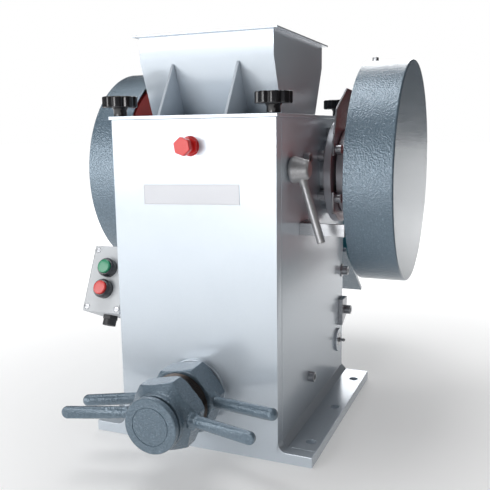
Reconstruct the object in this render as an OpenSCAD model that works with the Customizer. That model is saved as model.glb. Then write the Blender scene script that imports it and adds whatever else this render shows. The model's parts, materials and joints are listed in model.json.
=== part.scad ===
// Laboratory jaw crusher, bench size.
// +X is the right side seen from the operator, +Y points to the rear, +Z is up.
// The origin is the centre of the base bolt pattern, on the underside of the base.

/* [Body] */
// Width over the two side plates
body_w = 250; // [220:1:300]
// Height of the side plates above the floor
body_h = 478; // [470:1:580]
// Depth from the front plate's face to the rear edge
body_d = 360; // [345:1:432]
// Thickness of the front plate
front_t = 20; // [16:1:24]
// Thickness of each side plate
side_t = 16; // [12:1:20]
// Thickness of the rear plate
rear_t = 12; // [8:1:16]

/* [Base] */
// Thickness of the base and its feet
base_t = 16; // [12:1:22]
// How far each foot stands out beside the body
foot_w = 50; // [40:1:65]
// Diameter of the foot bolt holes
foot_hole_d = 14; // [10:1:18]
// Distance from a foot hole to the foot's outer edge
foot_hole_edge = 16; // [12:1:20]
// Distance between neighbouring holes along a foot
foot_hole_pitch = 132.5; // [110:0.5:140]
// Leg of the weld along the side plates
weld_leg = 9; // [6:1:12]
// Radius where the front plate widens into the feet
foot_fillet_r = 14; // [8:1:20]

/* [Main shaft] */
// Height of the shaft's axis above the floor
shaft_z = 393; // [380:1:400]
// Distance of the shaft's axis behind the origin
shaft_y = 74; // [60:1:80]
// Diameter of the main journals
journal_d = 45; // [35:1:50]
// Throw of the eccentric
throw = 4; // [3:0.5:5]
// Diameter of the eccentric journal
eccentric_d = 60; // [58:1:66]
// Outside diameter of the main bearings
bearing_od = 85; // [80:1:90]
// Width of a bearing
bearing_w = 23; // [18:1:26]
// Diameter of the bearing housing's neck
housing_d = 104; // [100:1:110]
// Diameter of the bearing cover
cover_d = 164; // [156:1:172]

/* [Flywheels and guards] */
// Diameter of the right flywheel
flywheel_d = 316; // [260:1:322]
// Diameter of the grooved left flywheel
sheave_d = 304; // [260:1:312]
// Outside diameter of the right guard
guard_r_d = 344; // [336:1:380]
// Outside diameter of the left guard
guard_l_d = 336; // [330:1:370]
// Depth of a guard along the shaft
guard_w = 70; // [62:1:84]
// Sheet thickness of the guards
guard_t = 2; // [1.5:0.5:3]
// Distance of the right guard's open edge from the side plate
guard_r_gap = 67; // [60:1:75]
// Distance of the left guard's open edge from the side plate
guard_l_gap = 35; // [32:1:45]

/* [Crushing chamber] */
// Height of the crushing faces' lower edge
jaw_bottom_z = 85; // [80:1:100]
// Opening between the jaws at the bottom, at its widest
discharge_gap = 22; // [18:1:30]
// Opening between the jaws at the top
feed_gap = 85; // [70:1:90]
// Thickness of a jaw plate over its teeth
jaw_plate_t = 20; // [16:1:22]
// Pitch of the teeth
tooth_pitch = 20; // [14:1:25]
// Thickness of the cheek plates
cheek_t = 5; // [4:0.5:6]

/* [Adjusting screw] */
// Height of the screw's axis above the floor
screw_z = 91; // [88:1:100]
// Diameter of the screw
screw_d = 64; // [50:1:66]
// Size of the hexagon nuts across their corners
nut_corner_d = 104; // [96:1:112]
// Reach of the front nut's arms from the axis
front_arm = 133; // [110:1:160]
// Reach of the lock nut's arms from the axis
lock_arm = 141; // [110:1:165]
// Diameter of the arms
arm_d = 17; // [14:1:19]

/* [Hopper] */
// Width of the hopper over its side walls
hopper_w = 208; // [196:1:212]
// Height of the hopper above the cover plate
hopper_h = 115; // [90:1:140]
// Depth of the hopper at the top
hopper_top_d = 235; // [215:1:260]
// Depth of the hopper at the cover plate
hopper_foot_d = 164; // [150:1:175]
// Width of the rim around the hopper
rim_w = 8; // [5:1:10]

/* [Controls] */
// Width of the push-button box
box_w = 68; // [60:1:76]
// Height of the push-button box
box_h = 107; // [98:1:120]
// Depth of the push-button box
box_d = 54; // [46:1:60]
// Diameter of the push buttons' rings
ring_d = 30; // [26:1:32]
// Diameter of the star knobs
knob_d = 50; // [40:1:54]

/* [Motor] */
// Diameter over the motor's fins
motor_d = 172; // [140:1:176]
// Length of the motor's body
motor_len = 190; // [160:1:200]
// Height of the motor's shaft over its feet
motor_foot_h = 90; // [89:1:100]
// Outside diameter of the motor pulley
pulley_d = 84; // [70:1:96]

/* [Hidden] */
$fn = 64;
eps = 0.01;

// Clearances
run = 0.05;          // radial running clearance of shafts and pins
gap = 0.3;           // gap between pieces of different bodies that face each other
free = 1;            // gap beside moving castings

// Body, worked out
front_y = -body_d / 2;
rear_y = body_d / 2;
front_in = front_y + front_t;
side_out = body_w / 2;
side_in = side_out - side_t;
foot_x = side_out + foot_w;
foot_hole_x = foot_x - foot_hole_edge;
cover_t = 5;
cover_z = body_h + cover_t;
cover_over = 2.5;
rear_in = rear_y - rear_t;

// Discharge opening in the base
discharge_w = 190;
discharge_front = -125;
discharge_rear = -5;

// Shaft, from the side plate outwards
flange_t = 6;
flange_r = 76;
neck_out = side_out + 14;
cover_ring_out = neck_out + 12;
groove_w = 4;
groove_r = 27.5;
cap_r = cover_d / 2 - 14;
cap_w = 11;
cap_out = cover_ring_out + groove_w + cap_w;
left_cover_out = neck_out + 10;
bearing_in = side_in + 3;
shoulder_r = bearing_od / 2 - 6;
screw_circle_r = 63;
screw_first = 154;
swing_bearing_od = eccentric_d + 30;
barrel_r = swing_bearing_od / 2 + 17;
ecc_y = shaft_y + throw;

// Guards and flywheels
guard_r_in = side_out + guard_r_gap;
guard_r_out = guard_r_in + guard_w;
guard_l_in = side_out + guard_l_gap;
guard_l_out = guard_l_in + guard_w - 2;
fly_in = guard_r_in + 6;
fly_out = guard_r_out - guard_t - 12;
sheave_in = guard_l_in + 8;
sheave_out = guard_l_out - guard_t - 10;
hub_r = 42;
hub_r_in = cap_out + 2;
hub_l_in = left_cover_out + 2;
shaft_right = fly_out + 4;
shaft_left = sheave_out + 4;
key_w = 12;
key_h = 8;

// Belt drive
motor_y = body_d / 2 + 128;
motor_z = shaft_z - 127;
motor_tilt = 37;
belt_w = 9;
belt_t = 7;
belt_seat = 8;
belt_depth = 1;
groove_depth = 12;
groove_top = 14;
groove_bottom = 8;
belt_pitch = 20;
belt_mid = (sheave_in + sheave_out) / 2;
pulley_guard_r = pulley_d / 2 + 24;
pulley_in = sheave_in + 2;
pulley_out = sheave_out - 2;

// Jaws. The fixed jaw turns about the pivot pin, and the screw pushes it at its foot.
pivot_y = -123;
pivot_z = 407;
pivot_d = 22;
jaw_hub_r = 20;
jaw_w = 2 * (side_in - cheek_t - 3);
jaw_top_z = body_h - 38;
jaw_h = jaw_top_z - jaw_bottom_z;
fixed_foot_y = -77;
fixed_top_y = fixed_foot_y - 20;
swing_foot_y = fixed_foot_y + discharge_gap;
swing_top_y = fixed_top_y + feed_gap;
fixed_lean = atan((fixed_foot_y - fixed_top_y) / jaw_h);
swing_lean = atan((swing_top_y - swing_foot_y) / jaw_h);
holder_t = 22;
fixed_plate_top = pivot_z - jaw_hub_r - 3;
tooth_h = 6;
function fixed_face(z) = fixed_foot_y - (z - jaw_bottom_z) * (fixed_foot_y - fixed_top_y) / jaw_h;
function swing_face(z) = swing_foot_y + (z - jaw_bottom_z) * (swing_top_y - swing_foot_y) / jaw_h;
holder_back = fixed_face(screw_z) - jaw_plate_t - holder_t;

// Toggle
toggle_y = 144;
toggle_z = 83;
toggle_pin_d = 24;
toggle_boss_r = 21;
toggle_hub_r = 19;
toggle_w = 140;
tip_r = 8;
tip_y = 24;
tip_z = 108;
toggle_free = 1.2;
seat_y = tip_y - tip_r - toggle_free;
seat_h = 28;

// Tension rod
rod_z = 150;
rod_r = 5;
rod_hole_r = rod_r + throw + 2;
spring_len = 40;
spring_wire = 2.2;
spring_r = rod_hole_r + 2.5;
spring_turns = 6;

// Adjusting screw, from the front plate forwards
boss_r = 46;
boss_t = 5;
lock_back = boss_t + 3;
lock_t = 42;
lock_front = lock_back + lock_t;
collar_back = lock_front + 2;
collar_t = 18;
collar_r = 43;
nut_back = collar_back + collar_t + 2;
nut_t = 40;
disc_t = 8;
disc_r = 37.5;
disc_front = nut_back + nut_t + disc_t;
arm_rake = 16.3;
front_arm_turn = 1.7;
lock_arm_turn = 4.5;
arm_root = 36;
screw_tip_y = front_in + 12;
pad_t = 22;

// Hopper
wall_t = 2.5;
hopper_foot_front = -97;
hopper_foot_rear = hopper_foot_front + hopper_foot_d;
hopper_top_front = hopper_foot_front - 32;
hopper_top_rear = hopper_top_front + hopper_top_d;
hopper_knee_z = cover_z + 78;
hopper_top_z = cover_z + hopper_h;
throat_w = hopper_w - 2 * wall_t;
rib_x = 51;
rib_t = 4;

// Knobs and their studs
knob_stem_d = 19;
knob_stem_h = 12;
knob_head_h = 16;
stud_r = 5;
stud_len = 22;
knob_x = side_out - side_t / 2;
knob_front_y = front_y + 13;
knob_rear_y = rear_y - 15;

// Control box on the left side, its face tilted back
box_tilt = 25;
box_x = -side_out - 17 - box_w / 2;
box_y = -134;
box_z = 233;
lid_t = 14;
lid_screw_x = box_w / 2 - 7;
lid_screw_z = box_h / 2 - 7.5;
button_up = 17;
button_r = 11;
button_proud = 4;
button_travel = 3;
ring_h = 14;

// Screws
head_r = 8;
head_h = 10;
shank_r = 5;

// Places of bolts and brackets
plug_z = screw_z + 350;
bracket_y = -54;
bracket_z = 318;
lug_bolt_y = rear_y - 8;
lug_bolt_z = 133;
tie_bolt_y = rear_y - 8;
tie_bolt_z = 206;
box_bolt_back = 28;
bracket_rib_x = 44;
bracket_bolt_x = 13.5;
bracket_bolt_z = 266;
bracket_bolt_low_z = 196;
motor_bolt_x = 56;
motor_bolt_y = 62;
motor_bolt_r = 4;
rotor_r = 45;
rod_lug_y = 32;

// The plate that carries the right guard
plate_x = cover_ring_out + 0.5;
plate_t = 3;
guard_screw_r = 4;
guard_screw_head_r = 7;
guard_screw_ring = cap_r + guard_screw_head_r + 1;
guard_screw_spots = [for (a = [150, 210, 30, 330])
    [shaft_y + guard_screw_ring * cos(a), shaft_z + guard_screw_ring * sin(a)]];
tongue_w = 40;
tongue_turn = 40;

// ---------------------------------------------------------------- helpers

// A cylinder along X, from x0 to x1, at the given y and z
module xcyl(x0, x1, r, y = 0, z = 0) {
    translate([x0, y, z]) rotate([0, 90, 0]) cylinder(h = x1 - x0, r = r);
}

// A cylinder along Y, from y0 to y1, at the given x and z
module ycyl(y0, y1, r, x = 0, z = 0) {
    translate([x, y1, z]) rotate([90, 0, 0]) cylinder(h = y1 - y0, r = r);
}

// A flat outline in Y and Z, given thickness from x0 to x1
module yz(x0, x1) {
    translate([x0, 0, 0]) rotate([90, 0, 90]) linear_extrude(x1 - x0) children();
}

// A flat outline in X and Z, given thickness from y0 to y1
module xz(y0, y1) {
    translate([0, y1, 0]) rotate([90, 0, 0]) linear_extrude(y1 - y0) children();
}

// A block given by its two corners
module block(a, b) {
    translate(a) cube(b - a);
}

// A copy on each side of the middle plane
module both_sides() {
    children();
    mirror([1, 0, 0]) children();
}

// The outline around two circles and the straight lines that touch both
module belt_outline(r1, r2) {
    a = atan2(motor_z - shaft_z, motor_y - shaft_y);
    t = acos((r1 - r2) / norm([motor_y - shaft_y, motor_z - shaft_z]));
    c1 = [shaft_y, shaft_z];
    c2 = [motor_y, motor_z];
    low = [cos(a - t), sin(a - t)];
    high = [cos(a + t), sin(a + t)];
    translate(c1) circle(r = r1);
    translate(c2) circle(r = r2);
    polygon([c1 + r1 * low, c2 + r2 * low, c2 + r2 * high, c1 + r1 * high]);
}

// A socket-head screw along +X with the seat of its head at the origin
module socket_screw(r, h, shank, length) {
    difference() {
        union() {
            xcyl(0, h, r);
            xcyl(-length, eps, shank);
        }
        translate([h * 0.45, 0, 0]) rotate([0, 90, 0]) cylinder(h = h, r = r * 0.6, $fn = 6);
    }
}

// A hexagon-head screw along +Z with the seat of its head at the origin
module hex_screw(r, h, shank, length) {
    cylinder(h = h, r = r, $fn = 6);
    translate([0, 0, -length]) cylinder(h = length + eps, r = shank);
}

// Places children at each screw of the bearing housing on the right side
module housing_screw_places() {
    for (i = [0:5])
        translate([side_out, shaft_y + screw_circle_r * cos(screw_first + 60 * i),
            shaft_z + screw_circle_r * sin(screw_first + 60 * i)]) children();
}

// Places children at the cheek plates' screws on the right side
module cheek_screw_places() {
    for (p = [[-58, 420], [-32, 75]])
        translate([side_out, p[0], p[1]]) children();
}

// Local frame of the control box: the face's middle, X to the right, Z up the face, -Y out of it
module box_frame() {
    translate([box_x, box_y, box_z]) rotate([-box_tilt, 0, 0]) children();
}

// Local frame of the motor: X along its shaft, Z away from its feet
module motor_frame() {
    translate([0, motor_y, motor_z]) rotate([-motor_tilt, 0, 0]) children();
}

// ---------------------------------------------------------------- welded body

module base_plate() {
    color([0.78, 0.82, 0.87]) difference() {
        block([-foot_x, front_in, 0], [foot_x, rear_y, base_t]);
        block([-discharge_w / 2, discharge_front, -1], [discharge_w / 2, discharge_rear, base_t + 1]);
        for (x = [-foot_hole_x, foot_hole_x], i = [-1:1])
            translate([x, i * foot_hole_pitch, -1]) cylinder(h = base_t + 2, r = foot_hole_d / 2);
    }
}

module front_plate() {
    color([0.8, 0.84, 0.89]) difference() {
        xz(front_y, front_in) {
            translate([-side_out, 0]) square([body_w, body_h]);
            translate([-foot_x, 0]) square([2 * foot_x, base_t]);
            for (s = [-1, 1])
                difference() {
                    translate([s > 0 ? side_out - eps : -side_out - foot_fillet_r, base_t - eps])
                        square(foot_fillet_r + eps);
                    translate([s * (side_out + foot_fillet_r), base_t + foot_fillet_r])
                        circle(r = foot_fillet_r);
                }
        }
        ycyl(front_y - 1, front_in + 1, boss_r - 6, 0, screw_z);
        ycyl(front_y - 1, front_y + 12, 6, 0, plug_z);
        for (s = [-1, 1])
            translate([s * knob_x, knob_front_y, body_h - stud_len])
                cylinder(h = stud_len + 1, r = stud_r + run);
    }
}

// The right-hand side plate, with its weld; the left one is its mirror image
module side_plate() {
    difference() {
        union() {
            block([side_in, front_in, base_t], [side_out, rear_y, body_h]);
            yz_weld();
            xcyl(side_out - 1, side_out + 4, toggle_boss_r, toggle_y, toggle_z);
        }
        xcyl(side_in - 1, side_out + 1, housing_d / 2, shaft_y, shaft_z);
        xcyl(side_in - 1, side_out + 1, pivot_d / 2, pivot_y, pivot_z);
        xcyl(side_in - 1, side_out + 5, toggle_pin_d / 2, toggle_y, toggle_z);
        housing_screw_places() xcyl(-side_t - 1, 1, shank_r);
        cheek_screw_places() xcyl(-side_t - 1, 1, shank_r);
        for (p = [[bracket_y, bracket_z], [lug_bolt_y, lug_bolt_z], [tie_bolt_y, tie_bolt_z]])
            translate([side_out, p[0], p[1]]) xcyl(-side_t - 1, 1, shank_r);
        translate([knob_x, knob_rear_y, body_h - stud_len]) cylinder(h = stud_len + 1, r = stud_r + run);
    }
}

// The weld between a side plate and its foot
module yz_weld() {
    translate([0, rear_y, 0]) rotate([90, 0, 0]) linear_extrude(rear_y - front_in)
        polygon([[side_out - 1, base_t], [side_out + weld_leg, base_t], [side_out, base_t + weld_leg],
            [side_out - 1, base_t + weld_leg]]);
}

module side_plate_right() {
    color([0.74, 0.78, 0.83]) side_plate();
}

module side_plate_left() {
    color([0.74, 0.78, 0.83]) difference() {
        mirror([1, 0, 0]) side_plate();
        for (z = [-16, 16])
            translate([-side_out, box_y + box_bolt_back, box_z + z]) xcyl(-1, side_t + 1, 3);
    }
}

module rear_plate() {
    color([0.74, 0.78, 0.83]) difference() {
        block([-side_in, rear_in, base_t], [side_in, rear_y, body_h]);
        ycyl(rear_in - 1, rear_y + 1, rod_hole_r, 0, rod_z);
        for (x = [-bracket_rib_x, bracket_rib_x], z = [bracket_bolt_z, bracket_bolt_low_z])
            ycyl(rear_in - 1, rear_y + 1, 4.5, x > 0 ? x + bracket_bolt_x : x - bracket_bolt_x, z);
    }
}

// The cross beam behind the toggle, which stiffens the side plates, with a boss at each end of the pin
module toggle_beam() {
    back = toggle_y + toggle_hub_r + 2;
    color([0.7, 0.74, 0.78]) difference() {
        union() {
            yz(-side_in, side_in)
                polygon([[rear_in, toggle_z + 34], [rear_in, toggle_z - 42], [toggle_y - 16, toggle_z - 42],
                    [toggle_y - 16, toggle_z - toggle_hub_r - 4], [back, toggle_z - toggle_hub_r - 4],
                    [back, toggle_z + 34]]);
            both_sides() xcyl(toggle_w / 2 + 2, side_in, toggle_hub_r + 4, toggle_y, toggle_z);
        }
        xcyl(-side_in - 1, side_in + 1, toggle_pin_d / 2, toggle_y, toggle_z);
    }
}

module cheek_plates() {
    color([0.42, 0.43, 0.45]) both_sides() difference() {
        block([side_in - cheek_t, -150, jaw_bottom_z - 25], [side_in, -8, body_h - 6]);
        xcyl(side_in - cheek_t - 1, side_in + 1, pivot_d / 2 + 1, pivot_y, pivot_z);
        cheek_screw_places() xcyl(-side_t - 3, 0, shank_r);
    }
}

// ---------------------------------------------------------------- cover and hopper

module cover_plate() {
    color([0.8, 0.84, 0.89]) difference() {
        block([-side_out - cover_over, front_y - cover_over, body_h],
            [side_out + cover_over, rear_y + cover_over, cover_z]);
        block([-throat_w / 2, hopper_foot_front + wall_t, body_h - 1],
            [throat_w / 2, hopper_foot_rear - wall_t, cover_z + 1]);
        for (s = [-1, 1], y = [knob_front_y, knob_rear_y])
            translate([s * knob_x, y, body_h - 1]) cylinder(h = cover_t + 2, r = stud_r + 0.5);
    }
}

// Outline of the hopper seen from the side, set inwards by t
module hopper_profile(t, top) {
    polygon([[hopper_foot_front + t, cover_z], [hopper_foot_rear - t, cover_z],
        [hopper_top_rear - t, hopper_knee_z], [hopper_top_rear - t, top],
        [hopper_top_front + t, top], [hopper_top_front + t, hopper_knee_z]]);
}

module hopper() {
    color([0.8, 0.84, 0.89]) {
        difference() {
            union() {
                yz(-hopper_w / 2, hopper_w / 2) hopper_profile(0, hopper_top_z);
                block([-hopper_w / 2 - rim_w, hopper_top_front - rim_w, hopper_top_z - wall_t],
                    [hopper_w / 2 + rim_w, hopper_top_rear + rim_w, hopper_top_z]);
                hopper_ribs();
            }
            difference() {
                yz(-throat_w / 2, throat_w / 2) hopper_profile(wall_t, hopper_top_z + 1);
                block([-hopper_w, hopper_foot_front, cover_z - 1], [hopper_w, hopper_foot_rear, cover_z]);
            }
            block([-throat_w / 2, hopper_foot_front + wall_t, cover_z - 1],
                [throat_w / 2, hopper_foot_rear - wall_t, cover_z + 1]);
        }
        chute_apron();
    }
}

// Triangular gussets in front of and behind the hopper
module hopper_ribs() {
    reach = 77;
    for (s = [-1, 1]) {
        yz(s * rib_x - rib_t / 2, s * rib_x + rib_t / 2) {
            polygon([[hopper_foot_front + wall_t / 2, cover_z], [hopper_foot_front - reach, cover_z],
                [hopper_top_front + wall_t / 2, hopper_knee_z - 5]]);
            polygon([[hopper_foot_rear - wall_t / 2, cover_z], [hopper_foot_rear + reach, cover_z],
                [hopper_top_rear - wall_t / 2, hopper_knee_z - 5]]);
        }
    }
}

// The sloping sheet that keeps the feed off the swing jaw's barrel
module chute_apron() {
    front = swing_top_y + jaw_plate_t + 6;
    rear = hopper_foot_rear - wall_t - gap;
    low = shaft_z + barrel_r + throw + 3;
    yz(-throat_w / 2 + gap, throat_w / 2 - gap)
        polygon([[front, low], [rear, body_h - 6], [rear, cover_z], [rear + gap + 1.5, cover_z],
            [rear + gap + 1.5, cover_z + 5], [rear - wall_t, cover_z + 5], [rear - wall_t, body_h - 4],
            [front, low + wall_t]]);
}

// ---------------------------------------------------------------- main bearings

module housing() {
    difference() {
        union() {
            xcyl(side_in - flange_t, side_in, flange_r, shaft_y, shaft_z);
            xcyl(side_in - 1, neck_out, housing_d / 2, shaft_y, shaft_z);
        }
        xcyl(bearing_in, neck_out + 1, bearing_od / 2, shaft_y, shaft_z);
        xcyl(side_in - flange_t - 1, neck_out, shoulder_r, shaft_y, shaft_z);
        housing_screw_places() xcyl(-side_t - flange_t - 1, -side_t + 1, shank_r);
    }
}

module bearing_housings() {
    color([0.66, 0.69, 0.73]) both_sides() housing();
}

module main_bearings() {
    color([0.75, 0.76, 0.78]) both_sides() difference() {
        xcyl(bearing_in, bearing_in + bearing_w, bearing_od / 2, shaft_y, shaft_z);
        xcyl(bearing_in - 1, bearing_in + bearing_w + 1, journal_d / 2 + run, shaft_y, shaft_z);
    }
}

module bearing_covers() {
    color([0.72, 0.75, 0.78]) {
        difference() {
            union() {
                xcyl(neck_out, cover_ring_out, cover_d / 2, shaft_y, shaft_z);
                xcyl(bearing_in + bearing_w, neck_out + 1, bearing_od / 2, shaft_y, shaft_z);
                xcyl(cover_ring_out - 1, cover_ring_out + groove_w + 1, groove_r, shaft_y, shaft_z);
                xcyl(cover_ring_out + groove_w, cap_out, cap_r, shaft_y, shaft_z);
            }
            xcyl(bearing_in, cap_out + 1, journal_d / 2 + 1, shaft_y, shaft_z);
            for (p = guard_screw_spots)
                xcyl(neck_out + 2, cap_out + 1, guard_screw_r + run, p[0], p[1]);
        }
        mirror([1, 0, 0]) difference() {
            union() {
                xcyl(neck_out, left_cover_out, cover_d / 2, shaft_y, shaft_z);
                xcyl(bearing_in + bearing_w, neck_out + 1, bearing_od / 2, shaft_y, shaft_z);
            }
            xcyl(bearing_in, left_cover_out + 1, journal_d / 2 + 1, shaft_y, shaft_z);
        }
    }
}

// ---------------------------------------------------------------- guards

// The plate that carries the right guard, open to the front so that it slides over the groove
module guard_plate() {
    tongue_r = guard_r_d / 2 - guard_t;
    tongue_z = shaft_z + sqrt(pow(tongue_r, 2) - pow(tongue_w / 2, 2)) - eps;
    color([0.62, 0.64, 0.67]) {
        difference() {
            yz(plate_x, plate_x + plate_t) translate([shaft_y, shaft_z]) difference() {
                union() {
                    polygon([[-76, -62], [-76, 48], [-57, 100], [7, 133], [80, 128], [112, 100], [118, 55],
                        [118, -62]]);
                    rotate(-tongue_turn) translate([-tongue_w / 2, 100])
                        square([tongue_w, tongue_z - shaft_z - 100]);
                }
                circle(r = groove_r + 0.5);
                translate([-130, -groove_r - 0.5]) square([130, 2 * groove_r + 1]);
            }
            for (p = guard_screw_spots)
                xcyl(plate_x - 1, plate_x + plate_t + 1, guard_screw_r, p[0], p[1]);
        }
        guard_tongue_place() difference() {
            block([plate_x, -tongue_w / 2, tongue_z - shaft_z - plate_t],
                [guard_r_in + 16, tongue_w / 2, tongue_z - shaft_z]);
            translate([guard_r_in + 8, 0, tongue_z - shaft_z - 10]) cylinder(h = 20, r = 3);
        }
    }
}

// Turns from the shaft's top towards the rear, where the guard plate's tongue meets the drum
module guard_tongue_place() {
    translate([0, shaft_y, shaft_z]) rotate([-tongue_turn, 0, 0]) children();
}

module flywheel_guard() {
    wall_z = shaft_z + guard_r_d / 2 - guard_t;
    color([0.42, 0.52, 0.6]) difference() {
        union() {
            difference() {
                xcyl(guard_r_in, guard_r_out, guard_r_d / 2, shaft_y, shaft_z);
                xcyl(guard_r_in - 1, guard_r_out - guard_t, guard_r_d / 2 - guard_t, shaft_y, shaft_z);
            }
            // weld nut under the top bolt
            translate([guard_r_in + 8, shaft_y, wall_z - 5]) cylinder(h = 5.8, r = 7);
        }
        translate([guard_r_in + 8, shaft_y, wall_z - 10]) cylinder(h = 20, r = 3);
        guard_tongue_place() translate([guard_r_in + 8, 0, guard_r_d / 2 - 10]) cylinder(h = 20, r = 3);
    }
}

module belt_guard() {
    color([0.42, 0.52, 0.6]) difference() {
        yz(-guard_l_out, -guard_l_in) belt_outline(guard_l_d / 2, pulley_guard_r);
        yz(-guard_l_out + guard_t, -guard_l_in + 1)
            belt_outline(guard_l_d / 2 - guard_t, pulley_guard_r - guard_t);
    }
}

// The arm that holds a guard's rim, with its foot on the side plate
module guard_arm(guard_edge, r) {
    arm_t = 5;
    arm_h = 18;
    drop = shaft_z - bracket_z;
    arm_y = shaft_y - sqrt(pow(r - 1, 2) - pow(drop, 2));
    block([side_out, arm_y - arm_t / 2, bracket_z - arm_h / 2],
        [guard_edge, arm_y + arm_t / 2, bracket_z + arm_h / 2]);
    difference() {
        block([side_out, arm_y - arm_t / 2, bracket_z - arm_h / 2],
            [side_out + arm_t, bracket_y + 14, bracket_z + arm_h / 2]);
        translate([side_out, bracket_y, bracket_z]) xcyl(-1, arm_t + 1, shank_r);
    }
}

module guard_brackets() {
    color([0.55, 0.6, 0.65]) {
        guard_arm(guard_r_in, guard_r_d / 2);
        mirror([1, 0, 0]) guard_arm(guard_l_in, guard_l_d / 2);
        // lower arm of the belt guard
        low_angle = 250;
        reach = guard_l_d / 2 - 1;
        mirror([1, 0, 0])
            xcyl(side_out, guard_l_in, 9, shaft_y + reach * cos(low_angle), shaft_z + reach * sin(low_angle));
    }
}

// Lugs on the rear edges of the side plates
module side_lugs() {
    lug_t = 8;
    color([0.62, 0.66, 0.7]) both_sides() difference() {
        yz(side_out, side_out + lug_t)
            polygon([[lug_bolt_y - 22, lug_bolt_z + 23], [lug_bolt_y + 10, lug_bolt_z + 23],
                [lug_bolt_y + 10, lug_bolt_z - 10], [lug_bolt_y - 22, lug_bolt_z - 25]]);
        translate([side_out, lug_bolt_y, lug_bolt_z]) xcyl(-1, lug_t + 1, shank_r);
    }
}

// ---------------------------------------------------------------- fasteners

module socket_screws() {
    color([0.75, 0.76, 0.78]) both_sides() {
        housing_screw_places() socket_screw(head_r, head_h, shank_r, side_t + flange_t);
        cheek_screw_places() socket_screw(head_r, head_h, shank_r, side_t + 3);
        translate([side_out + 5, bracket_y, bracket_z]) socket_screw(head_r, head_h, shank_r, 20);
        translate([side_out + 8, lug_bolt_y, lug_bolt_z]) socket_screw(head_r, head_h, shank_r, 24);
        translate([side_out, tie_bolt_y, tie_bolt_z]) {
            difference() {
                xcyl(0, 2, 12);
                xcyl(-1, 3, shank_r);
            }
            translate([2, 0, 0]) socket_screw(head_r, head_h, shank_r, 18);
        }
    }
    color([0.75, 0.76, 0.78]) {
        for (p = guard_screw_spots)
            translate([plate_x + plate_t, p[0], p[1]])
                socket_screw(guard_screw_head_r, head_h, guard_screw_r, 12);
        translate([guard_r_in + 8, shaft_y, shaft_z + guard_r_d / 2]) hex_screw(5, 6, 3, guard_t + 5);
        guard_tongue_place() translate([guard_r_in + 8, 0, guard_r_d / 2]) hex_screw(5, 6, 3, guard_t + 5);
        for (x = [-bracket_rib_x, bracket_rib_x], z = [bracket_bolt_z, bracket_bolt_low_z])
            translate([x > 0 ? x + bracket_bolt_x : x - bracket_bolt_x, rear_y + 8, z])
                rotate([-90, 0, 0]) hex_screw(7.5, 5.5, 4.5, 16);
        motor_frame() for (x = [-motor_bolt_x, motor_bolt_x], y = [-motor_bolt_y, motor_bolt_y])
            translate([x, y, -motor_foot_h + 14]) hex_screw(7.5, 5.5, motor_bolt_r, 20);
    }
}

module name_plate() {
    color([0.7, 0.71, 0.74]) translate([-1.5, 0, 374.5]) rotate([0, -1.2, 0])
        block([-73.5, front_y - 0.8, -14], [73.5, front_y, 14]);
}

module breather_plug() {
    color([0.8, 0.12, 0.12]) translate([0, front_y, plug_z]) {
        ycyl(-2, 0, 14);
        translate([0, -2, 0]) rotate([90, 0, 0]) cylinder(h = 6, r = 14, $fn = 6);
        ycyl(-18, -7, 8);
        translate([0, -17, 0]) rotate([90, 0, 0]) rotate([0, 0, 10]) cylinder(h = 9, r = 13, $fn = 6);
        ycyl(-1, 12, 6);
    }
}

module grease_nipples() {
    color([0.72, 0.72, 0.7]) both_sides() {
        xcyl(side_out + 4, side_out + 7, 4, toggle_y, toggle_z);
        xcyl(side_out + 6, side_out + 11, 2.4, toggle_y, toggle_z);
        translate([side_out + 12, toggle_y, toggle_z]) sphere(r = 3);
    }
}

// ---------------------------------------------------------------- pins

// The pin of the fixed jaw and the pin of the toggle
module hinge_pins() {
    color([0.6, 0.61, 0.63]) {
        xcyl(-side_out - 8, side_out + 2, pivot_d / 2, pivot_y, pivot_z);
        xcyl(-side_out - 10, -side_out, pivot_d / 2 + 5, pivot_y, pivot_z);
        xcyl(side_out + 1, side_out + 20, 7, pivot_y, pivot_z);
        xcyl(-side_out - 4, side_out + 4, toggle_pin_d / 2, toggle_y, toggle_z);
    }
}

// ---------------------------------------------------------------- tension spring and rod

module tension_spring() {
    pitch = (spring_len - 2 * spring_wire) / spring_turns;
    color([0.3, 0.31, 0.33]) for (i = [0:spring_turns])
        translate([0, rear_y + spring_wire + i * pitch, rod_z]) rotate([90, 0, 0])
            rotate_extrude() translate([spring_r, 0]) circle(r = spring_wire, $fn = 24);
    color([0.3, 0.31, 0.33]) for (a = [0:90:270])
        rotate_about_rod(a) ycyl(rear_y + spring_wire, rear_y + spring_len - spring_wire, 1, spring_r, rod_z);
}

module rotate_about_rod(a) {
    translate([0, 0, rod_z]) rotate([0, a, 0]) translate([0, 0, -rod_z]) children();
}

module tension_rod() {
    washer_y = rear_y + spring_len + gap;
    color([0.62, 0.62, 0.64]) {
        difference() {
            ycyl(rod_lug_y, washer_y + 24, rod_r, 0, rod_z);
            xcyl(-8, 8, 2.5, rod_lug_y + 8, rod_z);
        }
        ycyl(washer_y, washer_y + 3, spring_r + 4, 0, rod_z);
        translate([0, washer_y + 3, rod_z]) rotate([-90, 0, 0]) cylinder(h = 8, r = 10, $fn = 6);
    }
}

// ---------------------------------------------------------------- motor and drive

module motor_plate_outline(x0, x1, t) {
    motor_frame() block([x0, -86, -motor_foot_h - t], [x1, 86, -motor_foot_h]);
}

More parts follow.
